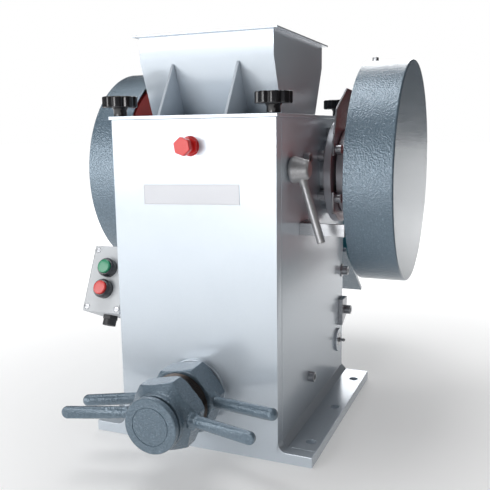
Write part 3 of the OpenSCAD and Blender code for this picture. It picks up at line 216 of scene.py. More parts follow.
class NodeSheet:
    """A material's node tree, with short calls for the nodes that the finishes use."""

    def __init__(self, tree: bpy.types.NodeTree) -> None:
        """Keeps the tree and its shader.

        Args:
            tree: Node tree of a new material.
        """
        self.tree = tree
        self.shader = next(n for n in tree.nodes if n.type == "BSDF_PRINCIPLED")

    def add(self, kind: str) -> bpy.types.Node:
        """Adds a node of the given kind."""
        return self.tree.nodes.new(kind)

    def join(self, out: Socket, into: Socket) -> None:
        """Links two sockets."""
        self.tree.links.new(out, into)

    def _feed(self, value: object, into: Socket) -> None:
        """Links a socket, or sets a plain value.

        Args:
            value: Socket to link, or value to set.
            into: Socket that takes it.
        """
        if isinstance(value, Socket):
            self.join(value, into)
        else:
            into.default_value = value

    def noise(self, place: Socket, scale: float, detail: float = 2.0) -> Socket:
        """Adds a noise texture and returns its value.

        Args:
            place: Socket with the place on the object.
            scale: Features for each metre.
            detail: Octaves of finer noise.

        Returns:
            Socket with the noise.
        """
        node = self.add("ShaderNodeTexNoise")
        node.inputs["Scale"].default_value = scale
        node.inputs["Detail"].default_value = detail
        self.join(place, node.inputs["Vector"])
        return node.outputs["Fac"]

    def cells(self, place: Socket, scale: float) -> Socket:
        """Adds soft cells and returns the distance from their middles.

        Args:
            place: Socket with the place on the object.
            scale: Features for each metre.

        Returns:
            Socket with the distance.
        """
        node = self.add("ShaderNodeTexVoronoi")
        node.feature = "SMOOTH_F1"
        node.inputs["Scale"].default_value = scale
        node.inputs["Smoothness"].default_value = 0.6
        self.join(place, node.inputs["Vector"])
        return node.outputs["Distance"]

    def rings(self, place: Socket, scale: float) -> Socket:
        """Adds rings round the shaft's axis and returns their value.

        Args:
            place: Socket with the place on the object.
            scale: Features for each metre, before the wave's own factor.

        Returns:
            Socket with the rings.
        """
        axis = joint_axis("main_shaft_turn")
        shift = self.add("ShaderNodeMapping")
        shift.inputs["Location"].default_value = (0.0, -axis.y, -axis.z)
        self.join(place, shift.inputs["Vector"])
        node = self.add("ShaderNodeTexWave")
        node.wave_type = "RINGS"
        node.rings_direction = "X"
        node.inputs["Scale"].default_value = scale * 0.05
        node.inputs["Distortion"].default_value = 0.4
        self.join(shift.outputs["Vector"], node.inputs["Vector"])
        return node.outputs["Fac"]

    def stretch(self, place: Socket, scale: Sequence[float]) -> Socket:
        """Adds a mapping that stretches the place and returns it.

        Args:
            place: Socket with the place on the object.
            scale: Factor along each axis.

        Returns:
            Socket with the stretched place.
        """
        node = self.add("ShaderNodeMapping")
        node.inputs["Scale"].default_value = scale
        self.join(place, node.inputs["Vector"])
        return node.outputs["Vector"]

    def bend(self, place: Socket, scale: float, amount: float) -> Socket:
        """Shifts the place by a coloured noise, which breaks up regular cells.

        Args:
            place: Socket with the place on the object.
            scale: Features of the noise for each metre.
            amount: Largest shift in metres.

        Returns:
            Socket with the shifted place.
        """
        node = self.add("ShaderNodeTexNoise")
        node.inputs["Scale"].default_value = scale
        self.join(place, node.inputs["Vector"])
        shift = self.add("ShaderNodeVectorMath")
        shift.operation = "MULTIPLY_ADD"
        self.join(node.outputs["Color"], shift.inputs[0])
        shift.inputs[1].default_value = (amount, amount, amount)
        self.join(place, shift.inputs[2])
        return shift.outputs["Vector"]

    def remap(self, value: Socket, a: float, b: float, low: float, high: float) -> Socket:
        """Maps a value from one range to another and returns it.

        Args:
            value: Socket to map.
            a: Start of its range.
            b: End of its range.
            low: Result at the start.
            high: Result at the end.

        Returns:
            Socket with the result.
        """
        node = self.add("ShaderNodeMapRange")
        node.inputs["From Min"].default_value = a
        node.inputs["From Max"].default_value = b
        node.inputs["To Min"].default_value = low
        node.inputs["To Max"].default_value = high
        self.join(value, node.inputs["Value"])
        return node.outputs["Result"]

    def math(self, kind: str, a: object, b: object) -> Socket:
        """Adds a math node and returns its value.

        Args:
            kind: Blender's name of the operation.
            a: First socket or number.
            b: Second socket or number.

        Returns:
            Socket with the result.
        """
        node = self.add("ShaderNodeMath")
        node.operation = kind
        self._feed(a, node.inputs[0])
        self._feed(b, node.inputs[1])
        return node.outputs[0]

    def mix(self, amount: object, a: object, b: object) -> Socket:
        """Mixes two colours and returns the result.

        Args:
            amount: Share of the second colour.
            a: First colour or its socket.
            b: Second colour or its socket.

        Returns:
            Socket with the mixed colour.
        """
        node = self.add("ShaderNodeMix")
        node.data_type = "RGBA"
        self._feed(amount, node.inputs[0])
        self._feed(a, node.inputs[6])
        self._feed(b, node.inputs[7])
        return node.outputs[2]


FINISHES: dict[str, Finish] = {
    "body_paint": Finish("pale_enamel", (0.6, 0.66, 0.72), (0.56, 0.62, 0.685), Grain.ENAMEL,
                         size=0.0016, depth=0.00003, rough=(0.2, 0.28), coat=0.3, metal=0.32),
    "hammer_paint": Finish("blue_hammertone", (0.125, 0.175, 0.22), (0.095, 0.138, 0.175), Grain.HAMMERED,
                           size=0.0024, depth=0.0005, rough=(0.13, 0.22), coat=0.6, metal=0.3),
    "wheel_red": Finish("wheel_red", (0.47, 0.028, 0.022), (0.36, 0.02, 0.018), Grain.ENAMEL,
                        size=0.002, depth=0.00004, rough=(0.28, 0.42), coat=0.2),
    "machined_steel": Finish("machined_steel", (0.52, 0.52, 0.53), (0.42, 0.42, 0.43), Grain.TURNED,
                             size=0.0008, depth=0.00001, metal=1.0, rough=(0.22, 0.42)),
    "zinc_steel": Finish("zinc_plate", (0.46, 0.47, 0.49), (0.38, 0.39, 0.42), Grain.BRUSHED,
                         size=0.0006, depth=0.000012, metal=0.95, rough=(0.24, 0.4)),
    "bearing_grey": Finish("turned_cover", (0.5, 0.53, 0.57), (0.42, 0.45, 0.5), Grain.TURNED,
                           size=0.0014, depth=0.00002, metal=0.55, rough=(0.28, 0.42)),
    "jaw_casting": Finish("cast_iron_paint", (0.1, 0.115, 0.13), (0.07, 0.08, 0.09), Grain.CAST,
                          size=0.003, depth=0.0003, rough=(0.45, 0.65)),
    "jaw_steel": Finish("manganese_steel", (0.2, 0.195, 0.19), (0.13, 0.12, 0.11), Grain.FORGED,
                        size=0.0035, depth=0.00025, metal=0.85, rough=(0.32, 0.6)),
    "thread_dark": Finish("oiled_thread", (0.062, 0.05, 0.044), (0.035, 0.028, 0.025), Grain.BRUSHED,
                          size=0.0007, depth=0.00002, metal=0.8, rough=(0.22, 0.4)),
    "spring_steel": Finish("oiled_spring", (0.09, 0.09, 0.1), (0.05, 0.05, 0.055), Grain.BRUSHED,
                           size=0.0006, depth=0.00001, metal=0.9, rough=(0.25, 0.4)),
    "motor_teal": Finish("motor_paint", (0.018, 0.17, 0.22), (0.014, 0.13, 0.18), Grain.CAST,
                         size=0.0022, depth=0.00008, rough=(0.3, 0.45), coat=0.2),
    "pulley_iron": Finish("pulley_iron", (0.12, 0.12, 0.125), (0.08, 0.08, 0.085), Grain.CAST,
                          size=0.0016, depth=0.00006, metal=0.7, rough=(0.35, 0.55)),
    "belt_rubber": Finish("belt_rubber", (0.018, 0.018, 0.02), (0.03, 0.03, 0.03), Grain.MOULDED,
                          size=0.0007, depth=0.00008, rough=(0.6, 0.8)),
    "box_grey": Finish("box_plastic", (0.58, 0.6, 0.62), (0.54, 0.56, 0.58), Grain.MOULDED,
                       size=0.0006, depth=0.00004, rough=(0.4, 0.52)),
    "ring_dark": Finish("ring_lacquer", (0.03, 0.033, 0.04), (0.02, 0.022, 0.028), Grain.POLISHED,
                        size=0.002, depth=0.000006, rough=(0.12, 0.22), coat=0.4),
    "gland_dark": Finish("gland_plastic", (0.03, 0.03, 0.033), (0.02, 0.02, 0.022), Grain.MOULDED,
                         size=0.0007, depth=0.00003, rough=(0.4, 0.55)),
    "button_green": Finish("button_green", (0.03, 0.27, 0.14), (0.022, 0.22, 0.11), Grain.POLISHED,
                           size=0.003, depth=0.000006, rough=(0.16, 0.26), coat=0.3),
    "button_red": Finish("button_red", (0.62, 0.04, 0.035), (0.52, 0.03, 0.028), Grain.POLISHED,
                         size=0.003, depth=0.000006, rough=(0.16, 0.26), coat=0.3),
    "knob_black": Finish("knob_black", (0.008, 0.008, 0.01), (0.012, 0.012, 0.014), Grain.MOULDED,
                         size=0.0008, depth=0.00001, rough=(0.14, 0.24), coat=0.3),
    "plug_red": Finish("plug_red", (0.68, 0.022, 0.02), (0.58, 0.016, 0.015), Grain.POLISHED,
                       size=0.002, depth=0.00001, rough=(0.22, 0.34), coat=0.15),
    "plate_silver": Finish("foil_plate", (0.52, 0.53, 0.56), (0.48, 0.49, 0.52), Grain.BRUSHED,
                           size=0.0005, depth=0.000006, metal=0.25, rough=(0.3, 0.4)),
}
LEVER_CAST = Finish("lever_cast", (0.5, 0.5, 0.51), (0.42, 0.42, 0.43), Grain.CAST,
                    size=0.0012, depth=0.00003, metal=0.7, rough=(0.34, 0.46))


class Paintbox:
    """Makes each finish's material once and hands it out."""

    def __init__(self) -> None:
        """Starts with no material made."""
        self._made: dict[str, bpy.types.Material] = {}

    def slot(self, name: str) -> bpy.types.Material:
        """Returns the material of a record's slot."""
        return self.finish(FINISHES[name])

    def finish(self, finish: Finish) -> bpy.types.Material:
        """Returns the material of a finish, and makes it at its first use.

        Args:
            finish: The finish.

        Returns:
            Its material.
        """
        if finish.name not in self._made:
            self._made[finish.name] = finish.build()
        return self._made[finish.name]


PAINT = Paintbox()
FRAME: dict = {}


def joint_axis(name: str) -> Vector:
    """Returns the point that a joint turns about.

    Args:
        name: Joint's name in the record.

    Returns:
        The point, in metres.
    """
    return Vector(next(j["pos_m"] for j in FRAME["joints"] if j["name"] == name))


def slot_of(node: str) -> str:
    """Returns the material slot of a CAD node."""
    return next(s["material_slot"] for s in FRAME["record"]["subparts"] if s["node"] == node)


def body_of_node(node: str) -> str:
    """Returns the body that a CAD node belongs to."""
    return next(b for b, ns in FRAME["record"]["behaviour"]["bodies"].items() if node in ns)


# --------------------------------------------------------------------------------------------- mesh work


class Axis(Enum):
    """The direction that a turned piece lies along, as the two vectors of its section."""

    X = (Vector((1, 0, 0)), Vector((0, 0, 1)))
    Y = (Vector((0, 1, 0)), Vector((0, 0, 1)))
    Z = (Vector((0, 0, 1)), Vector((1, 0, 0)))


class Blank:
    """A piece being made: a bmesh with the operations that shape it."""

    def __init__(self) -> None:
        """Starts empty."""
        self.bm = bmesh.new()

    # shapes ------------------------------------------------------------------------------------

    def turned(self, section: Sequence[Point], axis: Axis, centre: Vector, steps: int = 96,
               closed: bool = True) -> Blank:
        """Spins a section round an axis.

        Args:
            section: Points of the section, each a place along the axis and a radius.
            axis: Direction of the axis.
            centre: A point on the axis; the section's places count from it.
            steps: Number of steps in a full turn.
            closed: Whether the section's last point joins its first.

        Returns:
            This blank.
        """
        along, out = axis.value
        verts = [self.bm.verts.new(centre + along * a + out * r) for a, r in section]
        pairs = list(zip(verts, verts[1:]))
        if closed:
            pairs.append((verts[-1], verts[0]))
        edges = [self.bm.edges.new(pair) for pair in pairs]
        bmesh.ops.spin(self.bm, geom=verts + edges, cent=centre, axis=along, angle=math.tau,
                       steps=steps, use_merge=True)
        bmesh.ops.remove_doubles(self.bm, verts=self.bm.verts, dist=1e-6)
        bare = [e for e in self.bm.edges if not e.link_faces]
        bmesh.ops.delete(self.bm, geom=bare, context="EDGES")
        bmesh.ops.recalc_face_normals(self.bm, faces=self.bm.faces)
        return self

    def prism(self, sides: int, radius: float, depth: float, place: Matrix) -> Blank:
        """Adds an upright prism or cylinder, centred on the place's origin."""
        return self.cone(sides, radius, radius, depth, place)

    def cone(self, sides: int, r1: float, r2: float, depth: float, place: Matrix) -> Blank:
        """Adds a cone frustum, centred on the place's origin.

        Args:
            sides: Number of sides.
            r1: Radius at the lower end.
            r2: Radius at the upper end.
            depth: Height.
            place: Where its middle lies.

        Returns:
            This blank.
        """
        bmesh.ops.create_cone(self.bm, cap_ends=True, cap_tris=False, segments=sides, radius1=r1,
                              radius2=r2, depth=depth, matrix=place)
        return self

    def cuboid(self, size: Sequence[float], place: Matrix) -> Blank:
        """Adds a block of the given size, centred on the place's origin.

        Args:
            size: Size along each axis.
            place: Where its middle lies.

        Returns:
            This blank.
        """
        grown = Matrix.Diagonal((*size, 1.0))
        bmesh.ops.create_cube(self.bm, size=1.0, matrix=place @ grown)
        return self

    def ball(self, radius: float, place: Matrix, cuts: int = 20) -> Blank:
        """Adds a ball."""
        bmesh.ops.create_uvsphere(self.bm, u_segments=cuts, v_segments=cuts // 2, radius=radius, matrix=place)
        return self

    def coil(self, wire: float, radius: float, start: Vector, axis: Vector, length: float, turns: float,
             steps: int = 32) -> Blank:
        """Adds a helical spring.

        Args:
            wire: Radius of the wire.
            radius: Radius of the coil, to the wire's middle.
            start: Middle of the coil's first end.
            axis: Unit vector along the coil.
            length: Length between the wire's middles at both ends.
            turns: Number of turns.
            steps: Steps for each turn.

        Returns:
            This blank.
        """
        side = axis.orthogonal().normalized()
        across = axis.cross(side)
        turn = Matrix((side, axis, across)).transposed().to_4x4()
        place = Matrix.Translation(start + side * radius) @ turn
        ring = bmesh.ops.create_circle(self.bm, cap_ends=True, segments=12, radius=wire, matrix=place)
        face = [f for f in self.bm.faces if all(v in ring["verts"] for v in f.verts)]
        total = int(turns * steps)
        bmesh.ops.spin(self.bm, geom=face, cent=start, axis=axis, dvec=axis * (length / total),
                       angle=math.tau * turns, steps=total)
        bmesh.ops.recalc_face_normals(self.bm, faces=self.bm.faces)
        return self

    def copy_of(self, node: str, dist: float = 3e-6) -> Blank:
        """Takes a merged copy of a CAD node's mesh, with its flat faces made whole.

        Args:
            node: CAD node to copy.
            dist: Points nearer than this are merged, in metres.

        Returns:
            This blank.
        """
        self.bm.from_mesh(FRAME["nodes"][node].data)
        bmesh.ops.remove_doubles(self.bm, verts=self.bm.verts, dist=dist)
        bmesh.ops.dissolve_limit(self.bm, angle_limit=math.radians(0.5), verts=self.bm.verts,
                                 edges=self.bm.edges)
        return self

    def absorb(self, part: Blank) -> Blank:
        """Takes in another blank, which is used up.

        Args:
            part: The blank to take in.

        Returns:
            This blank.
        """
        mesh = bpy.data.meshes.new("part")
        part.bm.to_mesh(mesh)
        part.bm.free()
        self.bm.from_mesh(mesh)
        bpy.data.meshes.remove(mesh)
        return self

    # changes -----------------------------------------------------------------------------------

    def sharp_edges(self, angle: float = 30.0, keep: EdgeTest | None = None) -> list[bmesh.types.BMEdge]:
        """Returns the edges that are sharper than an angle in degrees.

        Args:
            angle: The angle in degrees.
            keep: Optional test that an edge must pass.

        Returns:
            The sharp edges.
        """
        limit = math.radians(angle)
        return [e for e in self.bm.edges if len(e.link_faces) == 2 and e.calc_face_angle(0.0) > limit
                and (keep is None or keep(e))]

    def soften(self, width: float, angle: float = 30.0, segments: int = 2, keep: EdgeTest | None = None,
               clamp: bool = False) -> Blank:
        """Rounds the sharp edges.

        Args:
            width: Width of the rounding in metres.
            angle: Edges sharper than this, in degrees, are rounded.
            segments: Faces across the rounding.
            keep: Optional test that an edge must pass.
            clamp: Whether roundings stop where they would meet.

        Returns:
            This blank.
        """
        edges = self.sharp_edges(angle, keep)
        if edges and width > 0.0:
            bmesh.ops.bevel(self.bm, geom=edges, offset=width, offset_type="OFFSET", affect="EDGES",
                            segments=segments, profile=0.5, clamp_overlap=clamp, material=-1,
                            loop_slide=True)
        return self

    def shift(self, change: Callable[[Vector], Vector]) -> Blank:
        """Moves every point by a rule.

        Args:
            change: Gives a point's new place.

        Returns:
            This blank.
        """
        for vert in self.bm.verts:
            vert.co = change(vert.co)
        return self

    def moved(self, place: Matrix) -> Blank:
        """Moves the whole piece."""
        bmesh.ops.transform(self.bm, matrix=place, verts=self.bm.verts)
        return self

    # finish ------------------------------------------------------------------------------------

    def piece(self, name: str, material: bpy.types.Material, crease: float = 35.0,
              weighted: bool = True) -> bpy.types.Object:
        """Turns the blank into an object with smooth faces and sharp creases.

        Args:
            name: Object's name.
            material: Its material.
            crease: Edges sharper than this, in degrees, stay crisp.
            weighted: Whether large faces keep their flat look.

        Returns:
            The new object.
        """
        limit = math.radians(crease)
        for face in self.bm.faces:
            face.smooth = True
            face.material_index = 0
        for edge in self.bm.edges:
            edge.smooth = len(edge.link_faces) == 2 and edge.calc_face_angle(0.0) < limit
        mesh = bpy.data.meshes.new(name)
        self.bm.to_mesh(mesh)
        self.bm.free()
        mesh.materials.append(material)
        made = bpy.data.objects.new(name, mesh)
        bpy.context.scene.collection.objects.link(made)
        if weighted:
            modifier = made.modifiers.new("flat_faces", "WEIGHTED_NORMAL")
            modifier.keep_sharp = True
            modifier.weight = 60
        LOG.info("%s: %d faces", name, len(mesh.polygons))
        return made


def fit(piece: bpy.types.Object, body: str, slot: str, *nodes: str) -> bpy.types.Object:
    """Puts a piece on its body and hides the CAD nodes that it stands for.

    Args:
        piece: The new piece.
        body: Body that it rides on.
        slot: Record slot of its finish; not used.
        nodes: CAD nodes that it replaces.

    Returns:
        The piece.
    """
    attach(piece, body)
    if nodes:
        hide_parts(*nodes)
    return piece


def fit_node(blank: Blank, node: str, name: str = "", crease: float = 35.0,
             weighted: bool = True) -> bpy.types.Object:
    """Finishes a blank that stands for one CAD node, on that node's body and in its slot.

    Args:
        blank: The finished shape, which is used up.
        node: CAD node that it stands for.
        name: Object's name, if it isn't the node's with "_shown".
        crease: Edges sharper than this, in degrees, stay crisp.
        weighted: Whether large faces keep their flat look.

    Returns:
        The piece.
    """
    slot = slot_of(node)
    piece = blank.piece(name or f"{node}_shown", PAINT.slot(slot), crease, weighted)
    return fit(piece, body_of_node(node), slot, node)


def one_skin(piece: bpy.types.Object, voxel: float, passes: int) -> None:
    """Runs a piece's solids into one smooth skin, as on a casting or under thick paint.

    Args:
        piece: The piece.
        voxel: Size of the skin's steps in metres.
        passes: How often the skin is smoothed.
    """
    remesh = piece.modifiers.new("one_skin", "REMESH")
    remesh.mode = "VOXEL"
    remesh.voxel_size = voxel
    remesh.use_smooth_shade = True
    smooth = piece.modifiers.new("smooth_skin", "SMOOTH")
    smooth.factor = 0.5
    smooth.iterations = passes


def shaft_line() -> Vector:
    """Returns the point of the main shaft's line in the machine's middle plane."""
    axis = joint_axis("main_shaft_turn")
    return Vector((0, axis.y, axis.z))


def at(x: float, y: float, z: float) -> Matrix:
    """Returns a shift to a point."""
    return Matrix.Translation((x, y, z))


def turn(degrees: float, axis: str) -> Matrix:
    """Returns a turn about an axis through the origin."""
    return Matrix.Rotation(math.radians(degrees), 4, axis)


# --------------------------------------------------------------------------------------------- assemblies


@dataclass
class PlateWork:
    """The welded body, covers and brackets: CAD shapes with their edges rounded."""

    widths: dict[str, float] = field(default_factory=lambda: {
        "base_plate": 0.0012, "front_plate": 0.0016, "side_plate_right": 0.0008, "side_plate_left": 0.0008,
        "rear_plate": 0.0008, "toggle_beam": 0.001, "cheek_plates": 0.0006, "cover_plate": 0.0008,
        "hopper": 0.0005, "bearing_housings": 0.0006, "main_bearings": 0.0006, "guard_plate": 0.0005,
        "belt_guard": 0.0009, "guard_brackets": 0.0005, "side_lugs": 0.0007, "socket_screws": 0.0005,
        "screw_bush": 0.001, "hinge_pins": 0.0008, "motor_bracket": 0.0007, "motor_housing": 0.0005,
        "motor_end_shields": 0.0035, "motor_fan_cover": 0.0012, "motor_terminal_box": 0.0035,
        "motor_shaft": 0.0006, "motor_pulley": 0.0006, "drive_belts": 0.0007, "control_box": 0.0022,
        "control_box_lid": 0.0016, "lid_screws": 0.0003, "cable_gland": 0.0006,
        "control_box_bracket": 0.0006, "eccentric_shaft": 0.0008, "shaft_keys": 0.0004,
        "swing_jaw": 0.0016, "swing_jaw_plate": 0.0009, "swing_jaw_bearings": 0.0006,
        "tension_rod": 0.0005, "toggle_link": 0.0012, "fixed_jaw": 0.0016, "fixed_jaw_plate": 0.0009,
        "thrust_pad": 0.001, "grease_nipples": 0.0,
    })

    def build(self) -> None:
        """Makes a rounded copy of each listed node."""
        for node, width in self.widths.items():
            fit_node(Blank().copy_of(node).soften(width), node)


@dataclass
class FlywheelSide:
    """The right flywheel, its guard and the bearing covers."""

    sheet: float = 0.002
    edge: float = 0.0028
    steps: int = 160
    rim: float = 0.034
    web: float = 0.008
    face_gap: float = 0.002

    def build(self) -> None:
        """Makes every piece of the right side."""
        self.guard()
        self.wheel()
        self.covers()

    def guard(self) -> None:
        """Makes the drum that covers the flywheel: a spun sheet with a rolled edge."""
        low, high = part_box("flywheel_guard")
        axis = shaft_line()
        r = (high.z - low.z) / 2
        t = self.sheet
        section = [(low.x, r), (high.x, r), (high.x, 0.0), (high.x - t, 0.0), (high.x - t, r - t),
                   (low.x, r - t)]
        blank = Blank().turned(section, Axis.X, axis, self.steps)
        blank.soften(0.0007, angle=50.0, keep=lambda e: max(v.co.x for v in e.verts) < high.x - 0.01)
        blank.soften(self.edge, angle=50.0, segments=4,
                     keep=lambda e: min((v.co.yz - axis.yz).length for v in e.verts) > r - 0.0005
                     and max(v.co.x for v in e.verts) > high.x - 0.0005)
        fit_node(blank, "flywheel_guard")

    def wheel(self) -> None:
        """Makes the right flywheel with its hub, web and rim."""
        low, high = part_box("flywheel_right")
        r = (high.z - low.z) / 2
        rim, web, face = self.rim, self.web, high.x - self.face_gap
        start, mid = low.x + 0.03, (low.x + 0.03 + face) / 2
        section = [(low.x, 0.0226), (low.x, 0.042), (mid - web, 0.046), (mid - web, r - rim - 0.003),
                   (start, r - rim), (start, r), (face, r), (face, r - rim), (mid + web, r - rim - 0.003),
                   (mid + web, 0.046), (high.x, 0.042), (high.x, 0.0226)]
        blank = Blank().turned(section, Axis.X, shaft_line(), 128)
        fit_node(blank.soften(0.002, segments=3), "flywheel_right")

    def covers(self) -> None:
        """Makes both bearing covers, with a groove for the guard plate in the right one."""
        low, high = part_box("bearing_covers")
        r = (high.z - low.z) / 2
        neck = high.x - 0.027
        right = [(neck, 0.0236), (neck - 0.003, 0.042), (neck, 0.042), (neck, r), (neck + 0.012, r),
                 (neck + 0.012, 0.0275), (neck + 0.016, 0.0275), (neck + 0.016, r - 0.014),
                 (high.x, r - 0.014), (high.x, 0.0236)]
        left = [(-neck, 0.0236), (-neck + 0.003, 0.042), (-neck, 0.042), (-neck, r), (low.x, r),
                (low.x, 0.0236)]
        centre = shaft_line()
        blank = Blank().turned(right, Axis.X, centre, 128).turned(left, Axis.X, centre, 128)
        fit_node(blank.soften(0.0012, segments=3), "bearing_covers")


@dataclass
class BeltSide:
    """The grooved left flywheel."""

    pitch: float = 0.02
    groove: Point = (0.007, 0.004)
    depth: float = 0.012

    def build(self) -> None:
        """Makes the sheave with its two grooves, hub and recess."""
        low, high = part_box("flywheel_left")
        r = (high.z - low.z) / 2
        face = high.x - 0.017
        mid = (low.x + face) / 2
        top, floor = self.groove
        section = [(high.x, 0.0226), (high.x, 0.042), (face, 0.044), (face, r)]
        for s in (1, -1):
            c = mid + s * self.pitch / 2
            section += [(c + top, r), (c + floor, r - self.depth), (c - floor, r - self.depth), (c - top, r)]
        section += [(low.x, r), (low.x, r - 0.03), (low.x + 0.014, r - 0.034), (low.x + 0.014, 0.046),
                    (low.x, 0.042), (low.x, 0.0226)]
        blank = Blank().turned(section, Axis.X, shaft_line(), 128)
        fit_node(blank.soften(0.0012, segments=2), "flywheel_left")


@dataclass
class StarKnob:
    """A fluted hand knob with a stem and a threaded stud."""

    lobes: int = 8
    notch: float = 0.0034
    dish: float = 0.0014
    head: float = 0.016
    foot: float = 0.0245
    stem: float = 0.0095
    crest: float = 0.005
    root: float = 0.0042
    pitch: float = 0.0016

    def build(self, node: str) -> None:
        """Makes a knob.

        Args:
            node: CAD node that it stands for.
        """
        low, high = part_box(node)
        mid = (low + high) / 2
        r = (high.x - low.x) / 2
        head = self.head
        blank = Blank()
        centre = Matrix.Translation((mid.x, mid.y, high.z - head))
        made = bmesh.ops.create_circle(blank.bm, cap_ends=True, segments=self.lobes * 16, radius=r,
                                       matrix=centre)
        for vert in made["verts"]:
            arm = Vector((vert.co.x - mid.x, vert.co.y - mid.y, 0))
            angle = math.atan2(arm.y, arm.x)
            dip = abs(math.cos(self.lobes * angle / 2)) ** 7
            arm *= (r - self.notch * dip) / r
            vert.co = Vector((mid.x + arm.x, mid.y + arm.y, vert.co.z))
        grown = bmesh.ops.extrude_face_region(blank.bm, geom=list(blank.bm.faces))
        top = [g for g in grown["geom"] if isinstance(g, bmesh.types.BMVert)]
        bmesh.ops.translate(blank.bm, vec=(0, 0, head), verts=top)
        bmesh.ops.recalc_face_normals(blank.bm, faces=blank.bm.faces)
        blank.soften(0.0018, angle=60.0, segments=4)
        lid = max(blank.bm.faces, key=lambda f: f.calc_center_median().z + f.calc_area())
        bmesh.ops.inset_region(blank.bm, faces=[lid], thickness=0.006, depth=-self.dish)
        foot = low.z + self.foot
        stem = [(foot, 0.0), (foot, self.stem), (high.z - head - 0.003, self.stem),
                (high.z - head + 0.001, 0.0125), (high.z - head + 0.001, 0.0)]
        axis = Vector((mid.x, mid.y, 0))
        blank.turned(stem, Axis.Z, axis, 48, closed=False)
        stud = [(low.z, 0.0), (low.z, self.root)]
        z = low.z + self.pitch / 2
        while z < foot:
            stud += [(z, self.crest), (z + self.pitch / 2, self.root)]
            z += self.pitch
        stud += [(foot + 0.001, self.root), (foot + 0.001, 0.0)]
        blank.turned(stud, Axis.Z, axis, 24, closed=False)
        fit_node(blank, node, crease=40.0)


@dataclass
class ClampLever:
    """The cast lever on the pivot pin: a conical hub with a straight rod."""

    hub: Sequence[Point] = ((0.0, 0.0), (0.0, 0.0178), (0.002, 0.0185), (0.0045, 0.0185), (0.024, 0.0125),
                            (0.026, 0.0105), (0.026, 0.0))
    skin: float = 0.0008

    def build(self) -> None:
        """Makes the lever as one cast piece, smoothed where the rod leaves the hub."""
        low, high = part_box("clamp_lever")
        axis = joint_axis("clamp_lever_turn")
        start = Vector((low.x, axis.y, axis.z))
        blank = Blank().turned(self.hub, Axis.X, start, 64, closed=False)
        foot = Vector((high.x - 0.0062, (low.y + axis.y + 0.0185) / 2 + 0.002, low.z + 0.0022))
        root = start + Vector((0.013, 0.0005, -0.006))
        run = foot - root
        lean = run.to_track_quat("Z", "Y").to_matrix().to_4x4()
        blank.cone(32, 0.0054, 0.0059, run.length, Matrix.Translation(root + run / 2) @ lean)
        blank.cone(32, 0.0085, 0.0048, 0.02, Matrix.Translation(root + run.normalized() * 0.012) @ lean)
        piece = blank.piece("clamp_lever_shown", PAINT.finish(LEVER_CAST), weighted=False)
        one_skin(piece, self.skin, 7)
        fit(piece, "clamp_lever", "zinc_steel", "clamp_lever")


